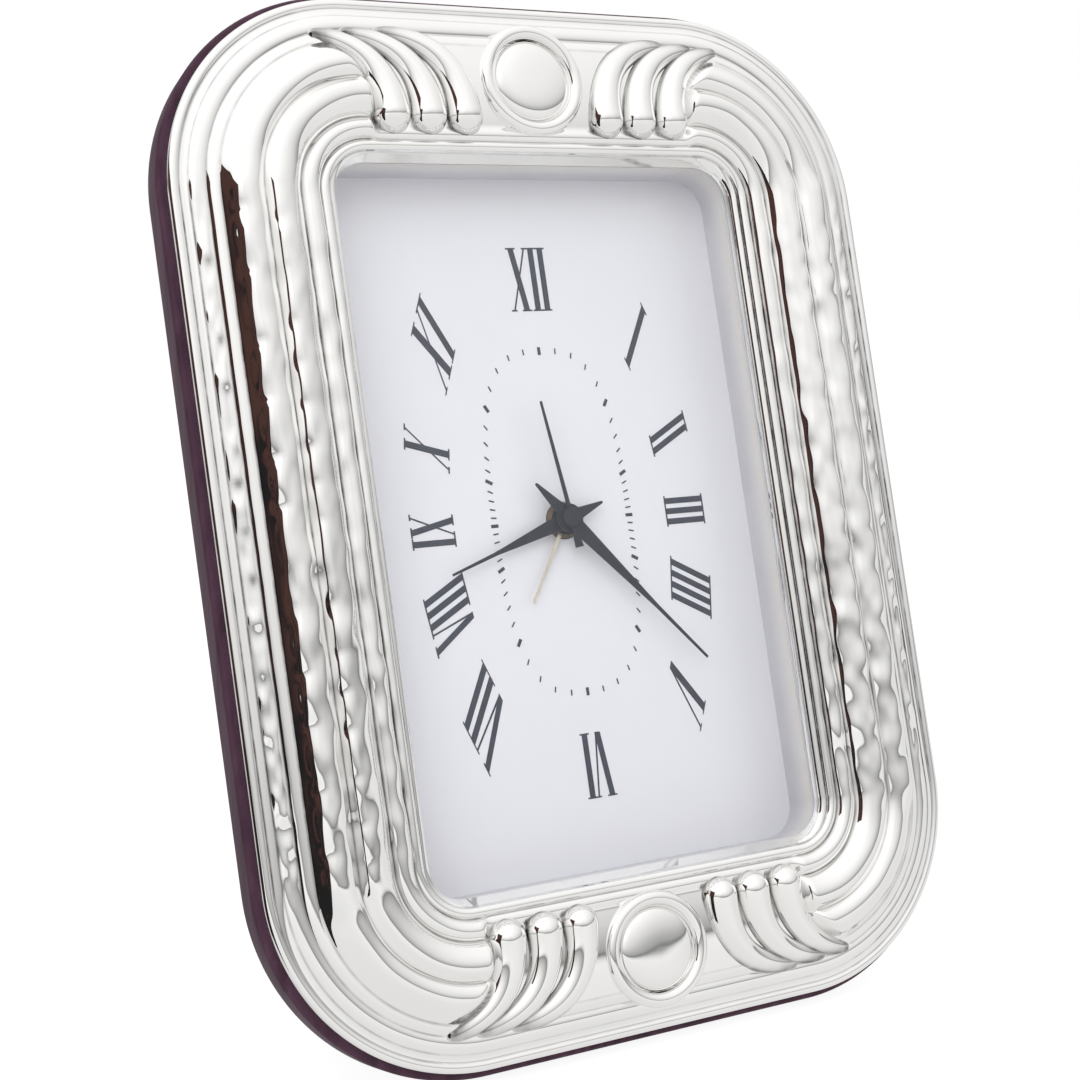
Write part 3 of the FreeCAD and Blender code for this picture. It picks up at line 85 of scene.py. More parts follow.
@dataclass(frozen=True)
class FaceFrame:
    """The leaning frame of the clock's face, in metres in the frame of the model."""

    origin: Array
    back: Array
    up: Array

    @classmethod
    def from_model(cls, frame: dict, dial_back: float = 10.8) -> "FaceFrame":
        """Reads the frame off the minute hand's axis.

        Args:
            dial_back: depth in millimetres at which the joints of the hands are placed.

        Returns:
            The frame of the face.
        """
        joint = next(j for j in frame["joints"] if j["name"] == "minute_spin")
        back = np.array(joint["axis"], float)
        back /= np.linalg.norm(back)
        up = np.cross([1.0, 0.0, 0.0], back)
        return cls(np.array(joint["pos_m"], float) - back * dial_back * MM, back, up)

    def place(self, x: Array, y: Array, z: Array) -> Array:
        """Turns face places in millimetres into model places in metres.

        Args:
            x: places to the right.
            y: places to the back.
            z: places up along the face.

        Returns:
            An array with one more axis, of length three.
        """
        x, y, z = np.broadcast_arrays(x, y, z)
        spread = x[..., None] * np.array([1.0, 0.0, 0.0]) + y[..., None] * self.back + z[..., None] * self.up
        return self.origin + spread * MM


def smooth_step(value: Array, low: float, high: float) -> Array:
    """Rises from 0 at low to 1 at high along a smooth cubic.

    Args:
        value: where to read the curve.
        low: where it starts.
        high: where it ends.

    Returns:
        The curve's height at each value.
    """
    share = np.clip((value - low) / (high - low), 0.0, 1.0)
    return share * share * (3 - 2 * share)


def bell(value: Array, middle: float, width: float) -> Array:
    """A bell curve that is 1 at its middle and has fallen to 1/e at one width from it."""
    return np.exp(-(((value - middle) / width) ** 2))


def turns(count: int) -> Array:
    """Angles spread evenly once round, in radians."""
    return np.linspace(0, 2 * math.pi, count + 1)[:-1]


def widen(grid: Array, row: Array) -> Array:
    """Adds the same columns to every row of a grid."""
    return np.concatenate([grid, np.broadcast_to(row, (len(grid), len(row)))], axis=1)


def lattice_noise(x: Array, y: Array, seed: int, cells: int = 64) -> Array:
    """Smooth noise: random heights on a square lattice, joined by smooth cubic steps along both axes.

    Args:
        x: first coordinate, in lattice cells.
        y: second coordinate, in lattice cells.
        seed: picks the random heights.
        cells: the lattice repeats after this many cells.

    Returns:
        Heights between -1 and 1.
    """
    heights = np.random.default_rng(seed).uniform(-1.0, 1.0, (cells, cells))
    column, row = np.floor(x).astype(int), np.floor(y).astype(int)
    across, along = smooth_step(x - column, 0.0, 1.0), smooth_step(y - row, 0.0, 1.0)
    c0, c1, r0, r1 = column % cells, (column + 1) % cells, row % cells, (row + 1) % cells
    low = heights[c0, r0] * (1 - across) + heights[c1, r0] * across
    high = heights[c0, r1] * (1 - across) + heights[c1, r1] * across
    return low * (1 - along) + high * along


def merge_points(mesh: bpy.types.Mesh, distance: float, flat: float | None = None) -> None:
    """Merges points that fall together.

    Args:
        mesh: the mesh to change.
        distance: how near two points have to be, in metres.
        flat: faces that meet at fewer degrees than this are joined too, where it is given.
    """
    shape = bmesh.new()
    shape.from_mesh(mesh)
    bmesh.ops.remove_doubles(shape, verts=shape.verts, dist=distance)
    if flat is not None:
        bmesh.ops.dissolve_limit(shape, angle_limit=math.radians(flat), verts=shape.verts, edges=shape.edges)
    shape.to_mesh(mesh)
    shape.free()


def closed_surface(name: str, points: Array, crease: float, tarnish_and_shade: Array | None = None) -> Piece:
    """Makes an object from a grid of points that closes on itself along both axes.

    Each cell of the grid is a quad. Points that fall together are merged, so a row drawn into one point closes a
    pole. The sign of the enclosed volume, summed from the tetrahedra on each quad, tells which way faces point.

    Args:
        name: the object's name.
        points: places in metres, shaped (rows, columns, 3).
        crease: edges that turn by more degrees than this stay sharp.
        tarnish_and_shade: how dark each point is painted, for patina and painted shade, shaped (rows, columns), or
            nothing.

    Returns:
        The object, linked to the scene.
    """
    rows, columns = points.shape[:2]
    index = np.arange(rows * columns).reshape(rows, columns)
    right, below = np.roll(index, -1, axis=1), np.roll(index, -1, axis=0)
    corner = np.roll(right, -1, axis=0)
    quads = np.stack([index, right, corner, below], axis=-1).reshape(-1, 4)
    flat = points.reshape(-1, 3)
    a, b, c, d = (flat[quads[:, k]] for k in range(4))
    if (a * (np.cross(b, c) + np.cross(c, d))).sum() < 0:
        quads = quads[:, ::-1]
    mesh = bpy.data.meshes.new(name)
    mesh.vertices.add(len(flat))
    mesh.vertices.foreach_set("co", flat.astype(np.float32).ravel())
    mesh.loops.add(quads.size)
    mesh.loops.foreach_set("vertex_index", quads.astype(np.int32).ravel())
    mesh.polygons.add(len(quads))
    mesh.polygons.foreach_set("loop_start", np.arange(0, quads.size, 4, dtype=np.int32))
    mesh.update(calc_edges=True)
    if tarnish_and_shade is not None:
        layer = mesh.attributes.new(TARNISH_AND_SHADE, "FLOAT", "POINT")
        layer.data.foreach_set("value", tarnish_and_shade.astype(np.float32).ravel())
    merge_points(mesh, MERGE_NEW)
    return finish_object(name, mesh, crease)


def link_object(name: str, data: bpy.types.ID) -> Piece:
    """Puts a mesh, a lamp or a camera into the scene as an object.

    Args:
        name: the object's name.
        data: the mesh, lamp or camera.

    Returns:
        The object.
    """
    thing = bpy.data.objects.new(name, data)
    bpy.context.scene.collection.objects.link(thing)
    return thing


def finish_object(name: str, mesh: bpy.types.Mesh, crease: float) -> Piece:
    """Links a mesh as a smooth-shaded object with sharp creases.

    Args:
        name: the object's name.
        mesh: its mesh, in metres in the frame of the model.
        crease: edges that turn by more degrees than this stay sharp.

    Returns:
        The object.
    """
    mesh.shade_smooth()
    mesh.set_sharp_from_angle(angle=math.radians(crease))
    return link_object(name, mesh)


@dataclass(frozen=True)
class RoundedPath:
    """A rounded rectangle around the middle of the face, read as stations with an outward direction."""

    half_width: float
    half_height: float
    corner: float
    side_step: float
    end_step: float
    corner_steps: int

    def stations(self) -> tuple[Array, Array, Array, Array]:
        """Walks once round, anticlockwise from the lower right.

        Returns:
            The x and z of each station's corner centre or foot, and the x and z of its outward direction.
        """
        mid_x, mid_z = self.half_width - self.corner, self.half_height - self.corner
        sides = max(2, round(2 * mid_z / self.side_step))
        ends = max(2, round(2 * mid_x / self.end_step))
        feet_x, feet_z, angles = [], [], []
        for turn, (sign_x, sign_z) in enumerate(((1, 1), (-1, 1), (-1, -1), (1, -1))):
            upright = turn % 2 == 0
            run = np.linspace(-1, 1, (sides if upright else ends) + 1)[:-1]
            bend = np.linspace(0, 1, self.corner_steps + 1)[:-1]
            along = np.append(run, np.ones(len(bend)))
            still = np.ones(len(along))
            feet_x.append(sign_x * mid_x * (still if upright else along))
            feet_z.append(sign_z * mid_z * (along if upright else still))
            angles.append(math.pi / 2 * (turn + np.append(np.zeros(len(run)), bend)))
        angle = np.concatenate(angles)
        return np.concatenate(feet_x), np.concatenate(feet_z), np.cos(angle), np.sin(angle)

    def sweep(self, inset: Array) -> tuple[Array, Array]:
        """Places a section's insets at every station: foot plus direction times (corner radius minus inset).

        Args:
            inset: distance in from the path for each point of the section.

        Returns:
            x and z, shaped (stations, points).
        """
        foot_x, foot_z, out_x, out_z = self.stations()
        reach = self.corner - inset
        return foot_x[:, None] + out_x[:, None] * reach, foot_z[:, None] + out_z[:, None] * reach


def arc_points(start: tuple[float, float], end: tuple[float, float], rise: float, count: int) -> Array:
    """Points on the circular arc from start to end whose middle stands off the chord's middle by rise.

    The arc's middle lies straight above the chord's middle, and the circle goes through all three.

    Args:
        start: inset and height of the first end.
        end: inset and height of the second end.
        rise: how far the middle is lifted.
        count: number of steps.

    Returns:
        The points after start, shaped (count, 2).
    """
    a, b = np.array(start), np.array(end)
    m = (a + b) / 2 + np.array([0.0, rise])
    twice = 2 * (a[0] * (m[1] - b[1]) + m[0] * (b[1] - a[1]) + b[0] * (a[1] - m[1]))
    squares = [float(p @ p) for p in (a, m, b)]
    centre = np.array([
        (squares[0] * (m[1] - b[1]) + squares[1] * (b[1] - a[1]) + squares[2] * (a[1] - m[1])) / twice,
        (squares[0] * (b[0] - m[0]) + squares[1] * (a[0] - b[0]) + squares[2] * (m[0] - a[0])) / twice,
    ])
    radius = np.linalg.norm(a - centre)
    first, middle, last = (math.atan2(*(point - centre)[::-1]) for point in (a, m, b))
    middle = first + (middle - first + math.pi) % (2 * math.pi) - math.pi
    last = middle + (last - middle + math.pi) % (2 * math.pi) - math.pi
    angle = np.linspace(first, last, count + 1)[1:]
    return centre + radius * np.stack([np.cos(angle), np.sin(angle)], axis=-1)


class Graph:
    """A node tree with short ways to add nodes and to link them."""

    def __init__(self, owner: bpy.types.Material | bpy.types.World) -> None:
        """Turns the owner's nodes on and keeps its tree."""
        owner.use_nodes = True
        self.tree = owner.node_tree

    def add(self, kind: str, inputs: dict | None = None, **settings: str | bool) -> bpy.types.Node:
        """Adds a node.

        Args:
            kind: the node's type, without its leading ShaderNode.
            inputs: a value or a socket for each input named or numbered here.
            settings: the node's own settings.

        Returns:
            The node.
        """
        node = self.tree.nodes.new("ShaderNode" + kind)
        for name, value in settings.items():
            setattr(node, name, value)
        self.fill(node, inputs or {})
        return node

    def fill(self, node: bpy.types.Node, inputs: dict) -> None:
        """Links the inputs that are given a socket, and sets the others.

        Args:
            node: the node whose inputs are filled.
            inputs: a value or a socket for each input.
        """
        for key, value in inputs.items():
            if isinstance(value, bpy.types.NodeSocket):
                self.tree.links.new(value, node.inputs[key])
            else:
                node.inputs[key].default_value = value

    def find(self, kind: str) -> bpy.types.Node:
        """The tree's own node of one type."""
        return next(node for node in self.tree.nodes if node.type == kind)

    def math(self, operation: str, *values: Socket | float, clamp: bool = False) -> Socket:
        """The result of one sum on values and sockets."""
        return self.add("Math", dict(enumerate(values)), operation=operation, use_clamp=clamp).outputs[0]

    def dot(self, vector: Socket, along: tuple) -> Socket:
        """How far a vector reaches along a fixed direction."""
        return self.add("VectorMath", {0: vector, 1: along}, operation="DOT_PRODUCT").outputs["Value"]

    def noise(self, vector: Socket, scale: float, detail: float = 4.0) -> Socket:
        """Noise between 0 and 1, with so many cells per metre and so many octaves."""
        return self.add("TexNoise", {"Vector": vector, "Scale": scale, "Detail": detail}).outputs["Fac"]

    def ramp(self, height: Socket, stops: tuple) -> Socket:
        """Mixes colours by a height.

        Args:
            height: the mixing height.
            stops: the height and the colour of each stop, upwards.

        Returns:
            The colour output.
        """
        node = self.add("ValToRGB", {"Fac": height})
        elements = node.color_ramp.elements
        while len(elements) < len(stops):
            elements.new(0.5)
        for element, (place, color) in zip(elements, stops):
            element.position = place
            element.color = (*color, 1.0)
        return node.outputs["Color"]

    def spread(self, height: Socket, low: float, high: float, start: float = NOISE_LOW, end: float = NOISE_HIGH,
               curve: str = "LINEAR") -> Socket:
        """Maps a range of heights to a range of values.

        Args:
            height: the height.
            low: value at the start.
            high: value at the end.
            start: height at which the range starts.
            end: height at which it ends.
            curve: how the value goes from low to high.

        Returns:
            The value output.
        """
        inputs = {"Value": height, "From Min": start, "From Max": end, "To Min": low, "To Max": high}
        return self.add("MapRange", inputs, interpolation_type=curve).outputs["Result"]

    def mix(self, share: Socket, first: Socket | tuple, second: Socket | tuple) -> Socket:
        """Mixes two colours, where the share is the second one's."""
        return self.add("Mix", {"Factor": share, "A": first, "B": second}, data_type="RGBA").outputs["Result"]

    def blend(self, share: Socket, first: Socket, second: Socket) -> Socket:
        """Mixes two shaders, where the share is the second one's."""
        return self.add("MixShader", {"Fac": share, 1: first, 2: second}).outputs[0]


@dataclass(frozen=True)
class Finish:
    """A surface finish: colour and gloss that vary a little over the piece, with a fine relief.

    The scales are in noise cells per metre, and gloss_cells says how many times finer the gloss varies than the
    colour. The relief's depth is in millimetres.
    """

    name: str
    color: Color
    metallic: float = 0.0
    roughness: float = 0.5
    coat: float = 0.0
    coat_roughness: float = 0.1
    specular: float = 0.5
    mottle: float = 0.06
    mottle_scale: float = 60.0
    gloss_spread: float = 0.08
    gloss_cells: float = 3.0
    relief: float = 0.02
    relief_scale: float = 900.0
    stretch: Color = (1.0, 1.0, 1.0)

    def begin(self) -> tuple[bpy.types.Material, Graph, Socket]:
        """Starts the material.

        Returns:
            The material, its graph and the piece's own coordinates, stretched along its axes.
        """
        material = bpy.data.materials.new(self.name)
        graph = Graph(material)
        graph.fill(graph.find("BSDF_PRINCIPLED"),
                   {"Metallic": self.metallic, "Coat Weight": self.coat, "Coat Roughness": self.coat_roughness,
                    "Specular IOR Level": self.specular})
        place = graph.add("TexCoord").outputs["Object"]
        return material, graph, graph.add("Mapping", {"Vector": place, "Scale": self.stretch}).outputs["Vector"]

    def two_tone(self, graph: Graph, height: Socket, share: float) -> Socket:
        """The finish's colour, darker at low heights and lighter at high ones by a share of itself."""
        low, high = (tuple(min(1.0, v * factor) for v in self.color) for factor in (1 - share, 1 + share))
        return graph.ramp(height, ((NOISE_LOW, low), (NOISE_HIGH, high)))

    def base_color(self, graph: Graph, vector: Socket) -> Socket:
        """The finish's colour, mottled."""
        return self.two_tone(graph, graph.noise(vector, self.mottle_scale), self.mottle)

    def normal(self, graph: Graph, vector: Socket, detail: float = 4.0) -> Socket:
        """The normal of the fine relief."""
        height = graph.noise(vector, self.relief_scale, detail)
        return graph.add("Bump", {"Height": height, "Strength": 1.0, "Distance": self.relief * MM}).outputs["Normal"]

    def build(self) -> bpy.types.Material:
        """Makes the material.

        Returns:
            The material.
        """
        material, graph, vector = self.begin()
        half = self.gloss_spread / 2
        gloss = graph.spread(graph.noise(vector, self.mottle_scale * self.gloss_cells), self.roughness - half,
                             self.roughness + half)
        graph.fill(graph.find("BSDF_PRINCIPLED"), {"Base Color": self.base_color(graph, vector), "Roughness": gloss,
                                                   "Normal": self.normal(graph, vector)})
        return material


@dataclass(frozen=True)
class LacqueredWood(Finish):
    """Stained wood under a satin coat, with fine streaks along Z."""

    stretch: Color = (1.0, 1.0, 0.08)
    grain: float = 0.3
    grain_scale: float = 480.0
    grain_detail: float = 6.0

    def base_color(self, graph: Graph, vector: Socket) -> Socket:
        """The stain's colour, streaked along the grain."""
        return self.two_tone(graph, graph.noise(vector, self.grain_scale, self.grain_detail), self.grain)


@dataclass(frozen=True)
class PressedSilver(Finish):
    """Polished silver painted darker in its creases, in patches: partly patina and partly painted shade."""

    # the colour of the patina and painted shade
    dark: Color = (0.06, 0.053, 0.05)
    patch_scale: float = 260.0
    patch_shares: tuple[float, float] = (0.45, 1.25)

    def base_color(self, graph: Graph, vector: Socket) -> Socket:
        """The metal's colour, mixed with the dark colour of patina and painted shade where the surface's own attribute
        asks for it.

        Args:
            graph: the material's graph.
            vector: where the noise is read.

        Returns:
            The colour output.
        """
        # how much patina and painted shade each point carries
        amount = graph.add("Attribute", attribute_name=TARNISH_AND_SHADE).outputs["Fac"]
        patches = graph.spread(graph.noise(vector, self.patch_scale), *self.patch_shares)
        share = graph.math("MULTIPLY", amount, patches, clamp=True)
        return graph.mix(share, super().base_color(graph, vector), (*self.dark, 1.0))


@dataclass(frozen=True)
class PaintedLightPlastic(Finish):
    """Plastic painted paler and warmer at its front edge, as painted light and a painted reflection of the silver,
    turning to its own colour towards its foot.
    """

    # the cream of the painted light and painted reflection at the front edge
    front: Color = (0.69, 0.66, 0.645)
    back: Color = (0.0, 1.0, 0.0)
    front_level: float = 0.0
    foot_level: float = 0.01

    def base_color(self, graph: Graph, vector: Socket) -> Socket:
        """Mixes the painted light at the front with the plastic's own colour, by the depth along the back direction.

        Args:
            graph: the material's graph.
            vector: where the noise is read.

        Returns:
            The colour output.
        """
        depth = graph.dot(graph.add("TexCoord").outputs["Object"], self.back)
        share = graph.spread(depth, 0.0, 1.0, self.front_level, self.foot_level, "SMOOTHSTEP")
        return graph.mix(share, (*self.front, 1.0), super().base_color(graph, vector))


@dataclass(frozen=True)
class ClearGlass(Finish):
    """A clear pane with faint waviness, that lets the light on the dial through."""

    index: float = 1.45

    def build(self) -> bpy.types.Material:
        """Makes the material.

        Returns:
            The material.
        """
        material, graph, vector = self.begin()
        shader = graph.find("BSDF_PRINCIPLED")
        gloss = graph.spread(graph.noise(vector, self.mottle_scale), 0.0, self.roughness)
        graph.fill(shader, {"Base Color": (*self.color, 1.0), "Transmission Weight": 1.0, "IOR": self.index,
                            "Roughness": gloss, "Normal": self.normal(graph, vector, 1.0)})
        path = graph.add("LightPath").outputs
        either = graph.math("MAXIMUM", path["Is Shadow Ray"], path["Is Diffuse Ray"])
        through = graph.add("BsdfTransparent").outputs[0]
        graph.fill(graph.find("OUTPUT_MATERIAL"), {"Surface": graph.blend(either, shader.outputs[0], through)})
        return material


SILVER = PressedSilver("silver_sheet", (0.93, 0.925, 0.915), metallic=1.0, roughness=0.04, mottle=0.02,
                       mottle_scale=40.0, gloss_spread=0.03, relief=0.003, relief_scale=420.0)
LACQUER = LacqueredWood("plum_lacquer", (0.060, 0.028, 0.046), coat=0.01, specular=0.1, coat_roughness=0.25,
                        relief=0.01, relief_scale=500.0)
STAIN = LacqueredWood("stained_wood", (0.060, 0.032, 0.040), coat=0.1, coat_roughness=0.3, relief_scale=700.0)
DIAL_PAINT = Finish("dial_enamel", (0.69, 0.685, 0.73), roughness=0.42, mottle=0.012, mottle_scale=25.0, relief=0.004,
                    relief_scale=1500.0)
INK = Finish("slate_ink", (0.036, 0.041, 0.062), specular=0.3, mottle=0.1, mottle_scale=300.0, relief=0.003,
             relief_scale=2500.0)
HAND_PAINT = Finish("slate_hand_paint", (0.024, 0.026, 0.040), specular=0.12, mottle=0.08, mottle_scale=200.0,
                    relief=0.004, relief_scale=2000.0)
PALE_GOLD = Finish("pale_gold", (0.93, 0.84, 0.72), metallic=1.0, roughness=0.3, mottle_scale=200.0, relief=0.004)
GLASS = ClearGlass("clear_glass", (0.97, 0.985, 0.98), roughness=0.012, mottle_scale=8.0, relief=0.004,
                   relief_scale=12.0)
# the dial surround, with painted light at its front edge
PALE_PLASTIC = PaintedLightPlastic("surround_plastic", (0.54, 0.53, 0.57), relief=0.01, relief_scale=1800.0)
GASKET = Finish("pale_gasket", (0.62, 0.62, 0.63), roughness=0.7)
FILLER = Finish("cast_filler", (0.46, 0.43, 0.38), roughness=0.8, mottle=0.15, relief=0.08, relief_scale=600.0)
BLACK_PLASTIC = Finish("black_plastic", (0.022, 0.022, 0.024), roughness=0.46, mottle=0.12, relief=0.015,
                       relief_scale=2600.0)
NATURAL_PLASTIC = Finish("natural_plastic", (0.62, 0.61, 0.56), roughness=0.45, relief=0.01, relief_scale=1500.0)
STEEL = Finish("plated_steel", (0.60, 0.60, 0.61), metallic=1.0, roughness=0.28, mottle_scale=150.0, relief=0.01,
               relief_scale=1500.0, stretch=(1.0, 1.0, 0.3))
BROWN_PLASTIC = Finish("brown_plastic", (0.20, 0.145, 0.10), mottle=0.12, relief=0.012, relief_scale=2600.0)
BRASS = Finish("brass", (0.60, 0.43, 0.17), metallic=1.0, roughness=0.32, mottle=0.12, mottle_scale=120.0,
               relief=0.01, relief_scale=1300.0)
MAGNET = Finish("sintered_magnet", (0.10, 0.10, 0.11), metallic=0.6, roughness=0.55)
IRON = Finish("soft_iron", (0.40, 0.40, 0.41), metallic=1.0, roughness=0.4, relief=0.01)
COPPER = Finish("copper_wire", (0.62, 0.27, 0.12), metallic=0.9, roughness=0.3, mottle=0.2, mottle_scale=400.0,
                relief=0.05, relief_scale=4000.0, stretch=(0.05, 0.05, 1.0))
SOLDER_MASK = Finish("green_board", (0.04, 0.18, 0.07), roughness=0.35, mottle=0.25, mottle_scale=500.0,
                     relief_scale=1200.0)
RESIN = Finish("sealing_resin", (0.014, 0.014, 0.015), roughness=0.2, relief_scale=400.0)
CELL = Finish("cell_jacket", (0.13, 0.14, 0.16), metallic=0.4, roughness=0.3, mottle=0.08, mottle_scale=30.0,
              relief=0.004)


class Bench:
    """Puts finished pieces on the model's bodies and keeps one material per finish.

    Softened pieces are first cleaned of points that fall together and of edges that are flat, and then bevelled.
    """

    FLAT_ANGLE = 0.5
    CREASE = 30.0
    BEVEL_ANGLE = 40.0
    BEVEL_STEPS = 2

    def __init__(self, frame: dict) -> None:
        """Keeps the loaded model.
        """
        self.frame = frame
        self.face = FaceFrame.from_model(frame)
        self.made: dict[str, bpy.types.Material] = {}
        self.slots = {part["node"]: part["material_slot"] for part in frame["record"]["subparts"]}
        self.body_of = {n: body for body, names in frame["record"]["behaviour"]["bodies"].items() for n in names}

    def material(self, finish: Finish) -> bpy.types.Material:
        """The finish's material, made once.

        Args:
            finish: the finish.

        Returns:
            Its material.
        """
        if finish.name not in self.made:
            self.made[finish.name] = finish.build()
        return self.made[finish.name]

    def dress(self, piece: Piece, finish: Finish) -> None:
        """Gives an object one material."""
        piece.data.materials.clear()
        piece.data.materials.append(self.material(finish))

    def fit(self, piece: Piece, finish: Finish, node: str, replaces: bool = True) -> None:
        """Dresses a new piece and lets it stand for a node of the model.

        Args:
            piece: the new object.
            finish: its finish.
            node: the node whose body it takes.
            replaces: whether the node itself is hidden.
        """
        self.dress(piece, finish)
        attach(piece, self.body_of[node])
        if replaces:
            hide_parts(node)
        LOG.info("%s: %d faces on %s", piece.name, len(piece.data.polygons), self.body_of[node])

    def keep(self, node: str, finish: Finish) -> None:
        """Keeps a node of the model and dresses it."""
        self.dress(self.frame["nodes"][node], finish)
        LOG.info("%s: kept, %s", node, finish.name)

    def soften(self, node: str, finish: Finish, width: float) -> None:
        """Copies a node of the model with its edges rounded by a bevel.

        Args:
            node: the node to copy.
            finish: the copy's finish.
            width: the bevel's width in millimetres.
        """
        mesh = self.frame["nodes"][node].data.copy()
        merge_points(mesh, MERGE_OWN, self.FLAT_ANGLE)
        piece = finish_object(node + "_softened", mesh, self.CREASE)
        bevel = piece.modifiers.new("soft_edges", "BEVEL")
        bevel.width, bevel.segments = width * MM, self.BEVEL_STEPS
        bevel.limit_method, bevel.angle_limit = "ANGLE", math.radians(self.BEVEL_ANGLE)
        bevel.use_clamp_overlap = bevel.harden_normals = True
        self.fit(piece, finish, node)


@dataclass(frozen=True)
class Pattern:
    """Lattice noise along a side of the frame: its cells, its shifts and its seed."""

    along: float
    across: float
    shift: float
    side_share: float
    seed: int

    def read(self, z: Array, inset: Array | float, side: Array) -> Array:
        """The noise at places up along the face and in from its edge, moved on by the side's own shift."""
        return lattice_noise(z / self.along + self.shift, inset / self.across + side * self.side_share, self.seed)


@dataclass(frozen=True)
class Hammering:
    """Hammer marks: scallops on the ridges' flanks, dents on the crests and fine marks on the outer band.

    A scallop is the absolute sine of the place along the side, with a wandering phase. All of them fade out at the
    corners, and only a soft waviness is left along the top and bottom.
    """

    side_fade: tuple = (50.0, 66.0)
    right_shift: float = 3.7
    wander: Pattern = Pattern(17.0, 1.0, 40.0, 1.0, 11)
    wander_row: float = 5.0
    scallop_depth: float = 0.42
    scallop_mean: float = 0.6
    # length, wander, phase and share of each row of scallops, and the middle and width of its band of insets
    scallop_rows: tuple = ((10.5, 0.55, 0.0, 1.0, 10.5, 1.3), (7.56, 0.7, 0.4, 0.55, 17.0, 1.1))
    scallop_start: tuple = (8.7, 9.8)
    crest_start: tuple = (9.2, 10.6)
    crest_end: tuple = (25.6, 27.6)
    dents: Pattern = Pattern(4.2, 2.1, 80.0, 3.0, 23)
    dent_depth: float = 0.16
    fine: Pattern = Pattern(2.7, 1.3, 30.0, 2.0, 31)
    fine_depth: float = 0.05
    band: tuple = (4.7, 0.9)
    band_depth: float = 0.368
    soft_cell: float = 6.0
    soft_shift: float = 200.0
    soft_seed: int = 47
    soft_depth: float = 0.11

    def side(self, z: Array) -> Array:
        """1 along the sides, falling to 0 at the corners."""
        return 1 - smooth_step(np.abs(z), *self.side_fade)

    def push(self, x: Array, z: Array, inset: Array) -> Array:
        """Depth of the marks.

        Args:
            x: places to the right.
            z: places up along the face.
            inset: distance in from the outer edge.

        Returns:
            How far the surface is pushed out, negative inwards.
        """
        shift = np.where(x > 0, self.right_shift, 0.0)
        wander = self.wander.read(z, self.wander_row, shift)
        marks = np.zeros(inset.shape)
        for length, swing, phase, share, middle, width in self.scallop_rows:
            wave = np.abs(np.sin(math.pi * (z / length + swing * wander + phase + shift)))
            marks += share * (wave - self.scallop_mean) * bell(inset, middle, width)
        marks *= self.scallop_depth * smooth_step(inset, *self.scallop_start)
        crest = smooth_step(inset, *self.crest_start) * (1 - smooth_step(inset, *self.crest_end))
        fine = self.fine.read(z, inset, shift)
        marks += (self.dent_depth * self.dents.read(z, inset, shift) + self.fine_depth * fine) * crest
        marks += self.band_depth * fine * bell(inset, *self.band)
        soft = lattice_noise(x / self.soft_cell + self.soft_shift, z / self.soft_cell + self.soft_shift, self.soft_seed)
        side = self.side(z)
        return marks * side + self.soft_depth * soft * crest * (1 - side)


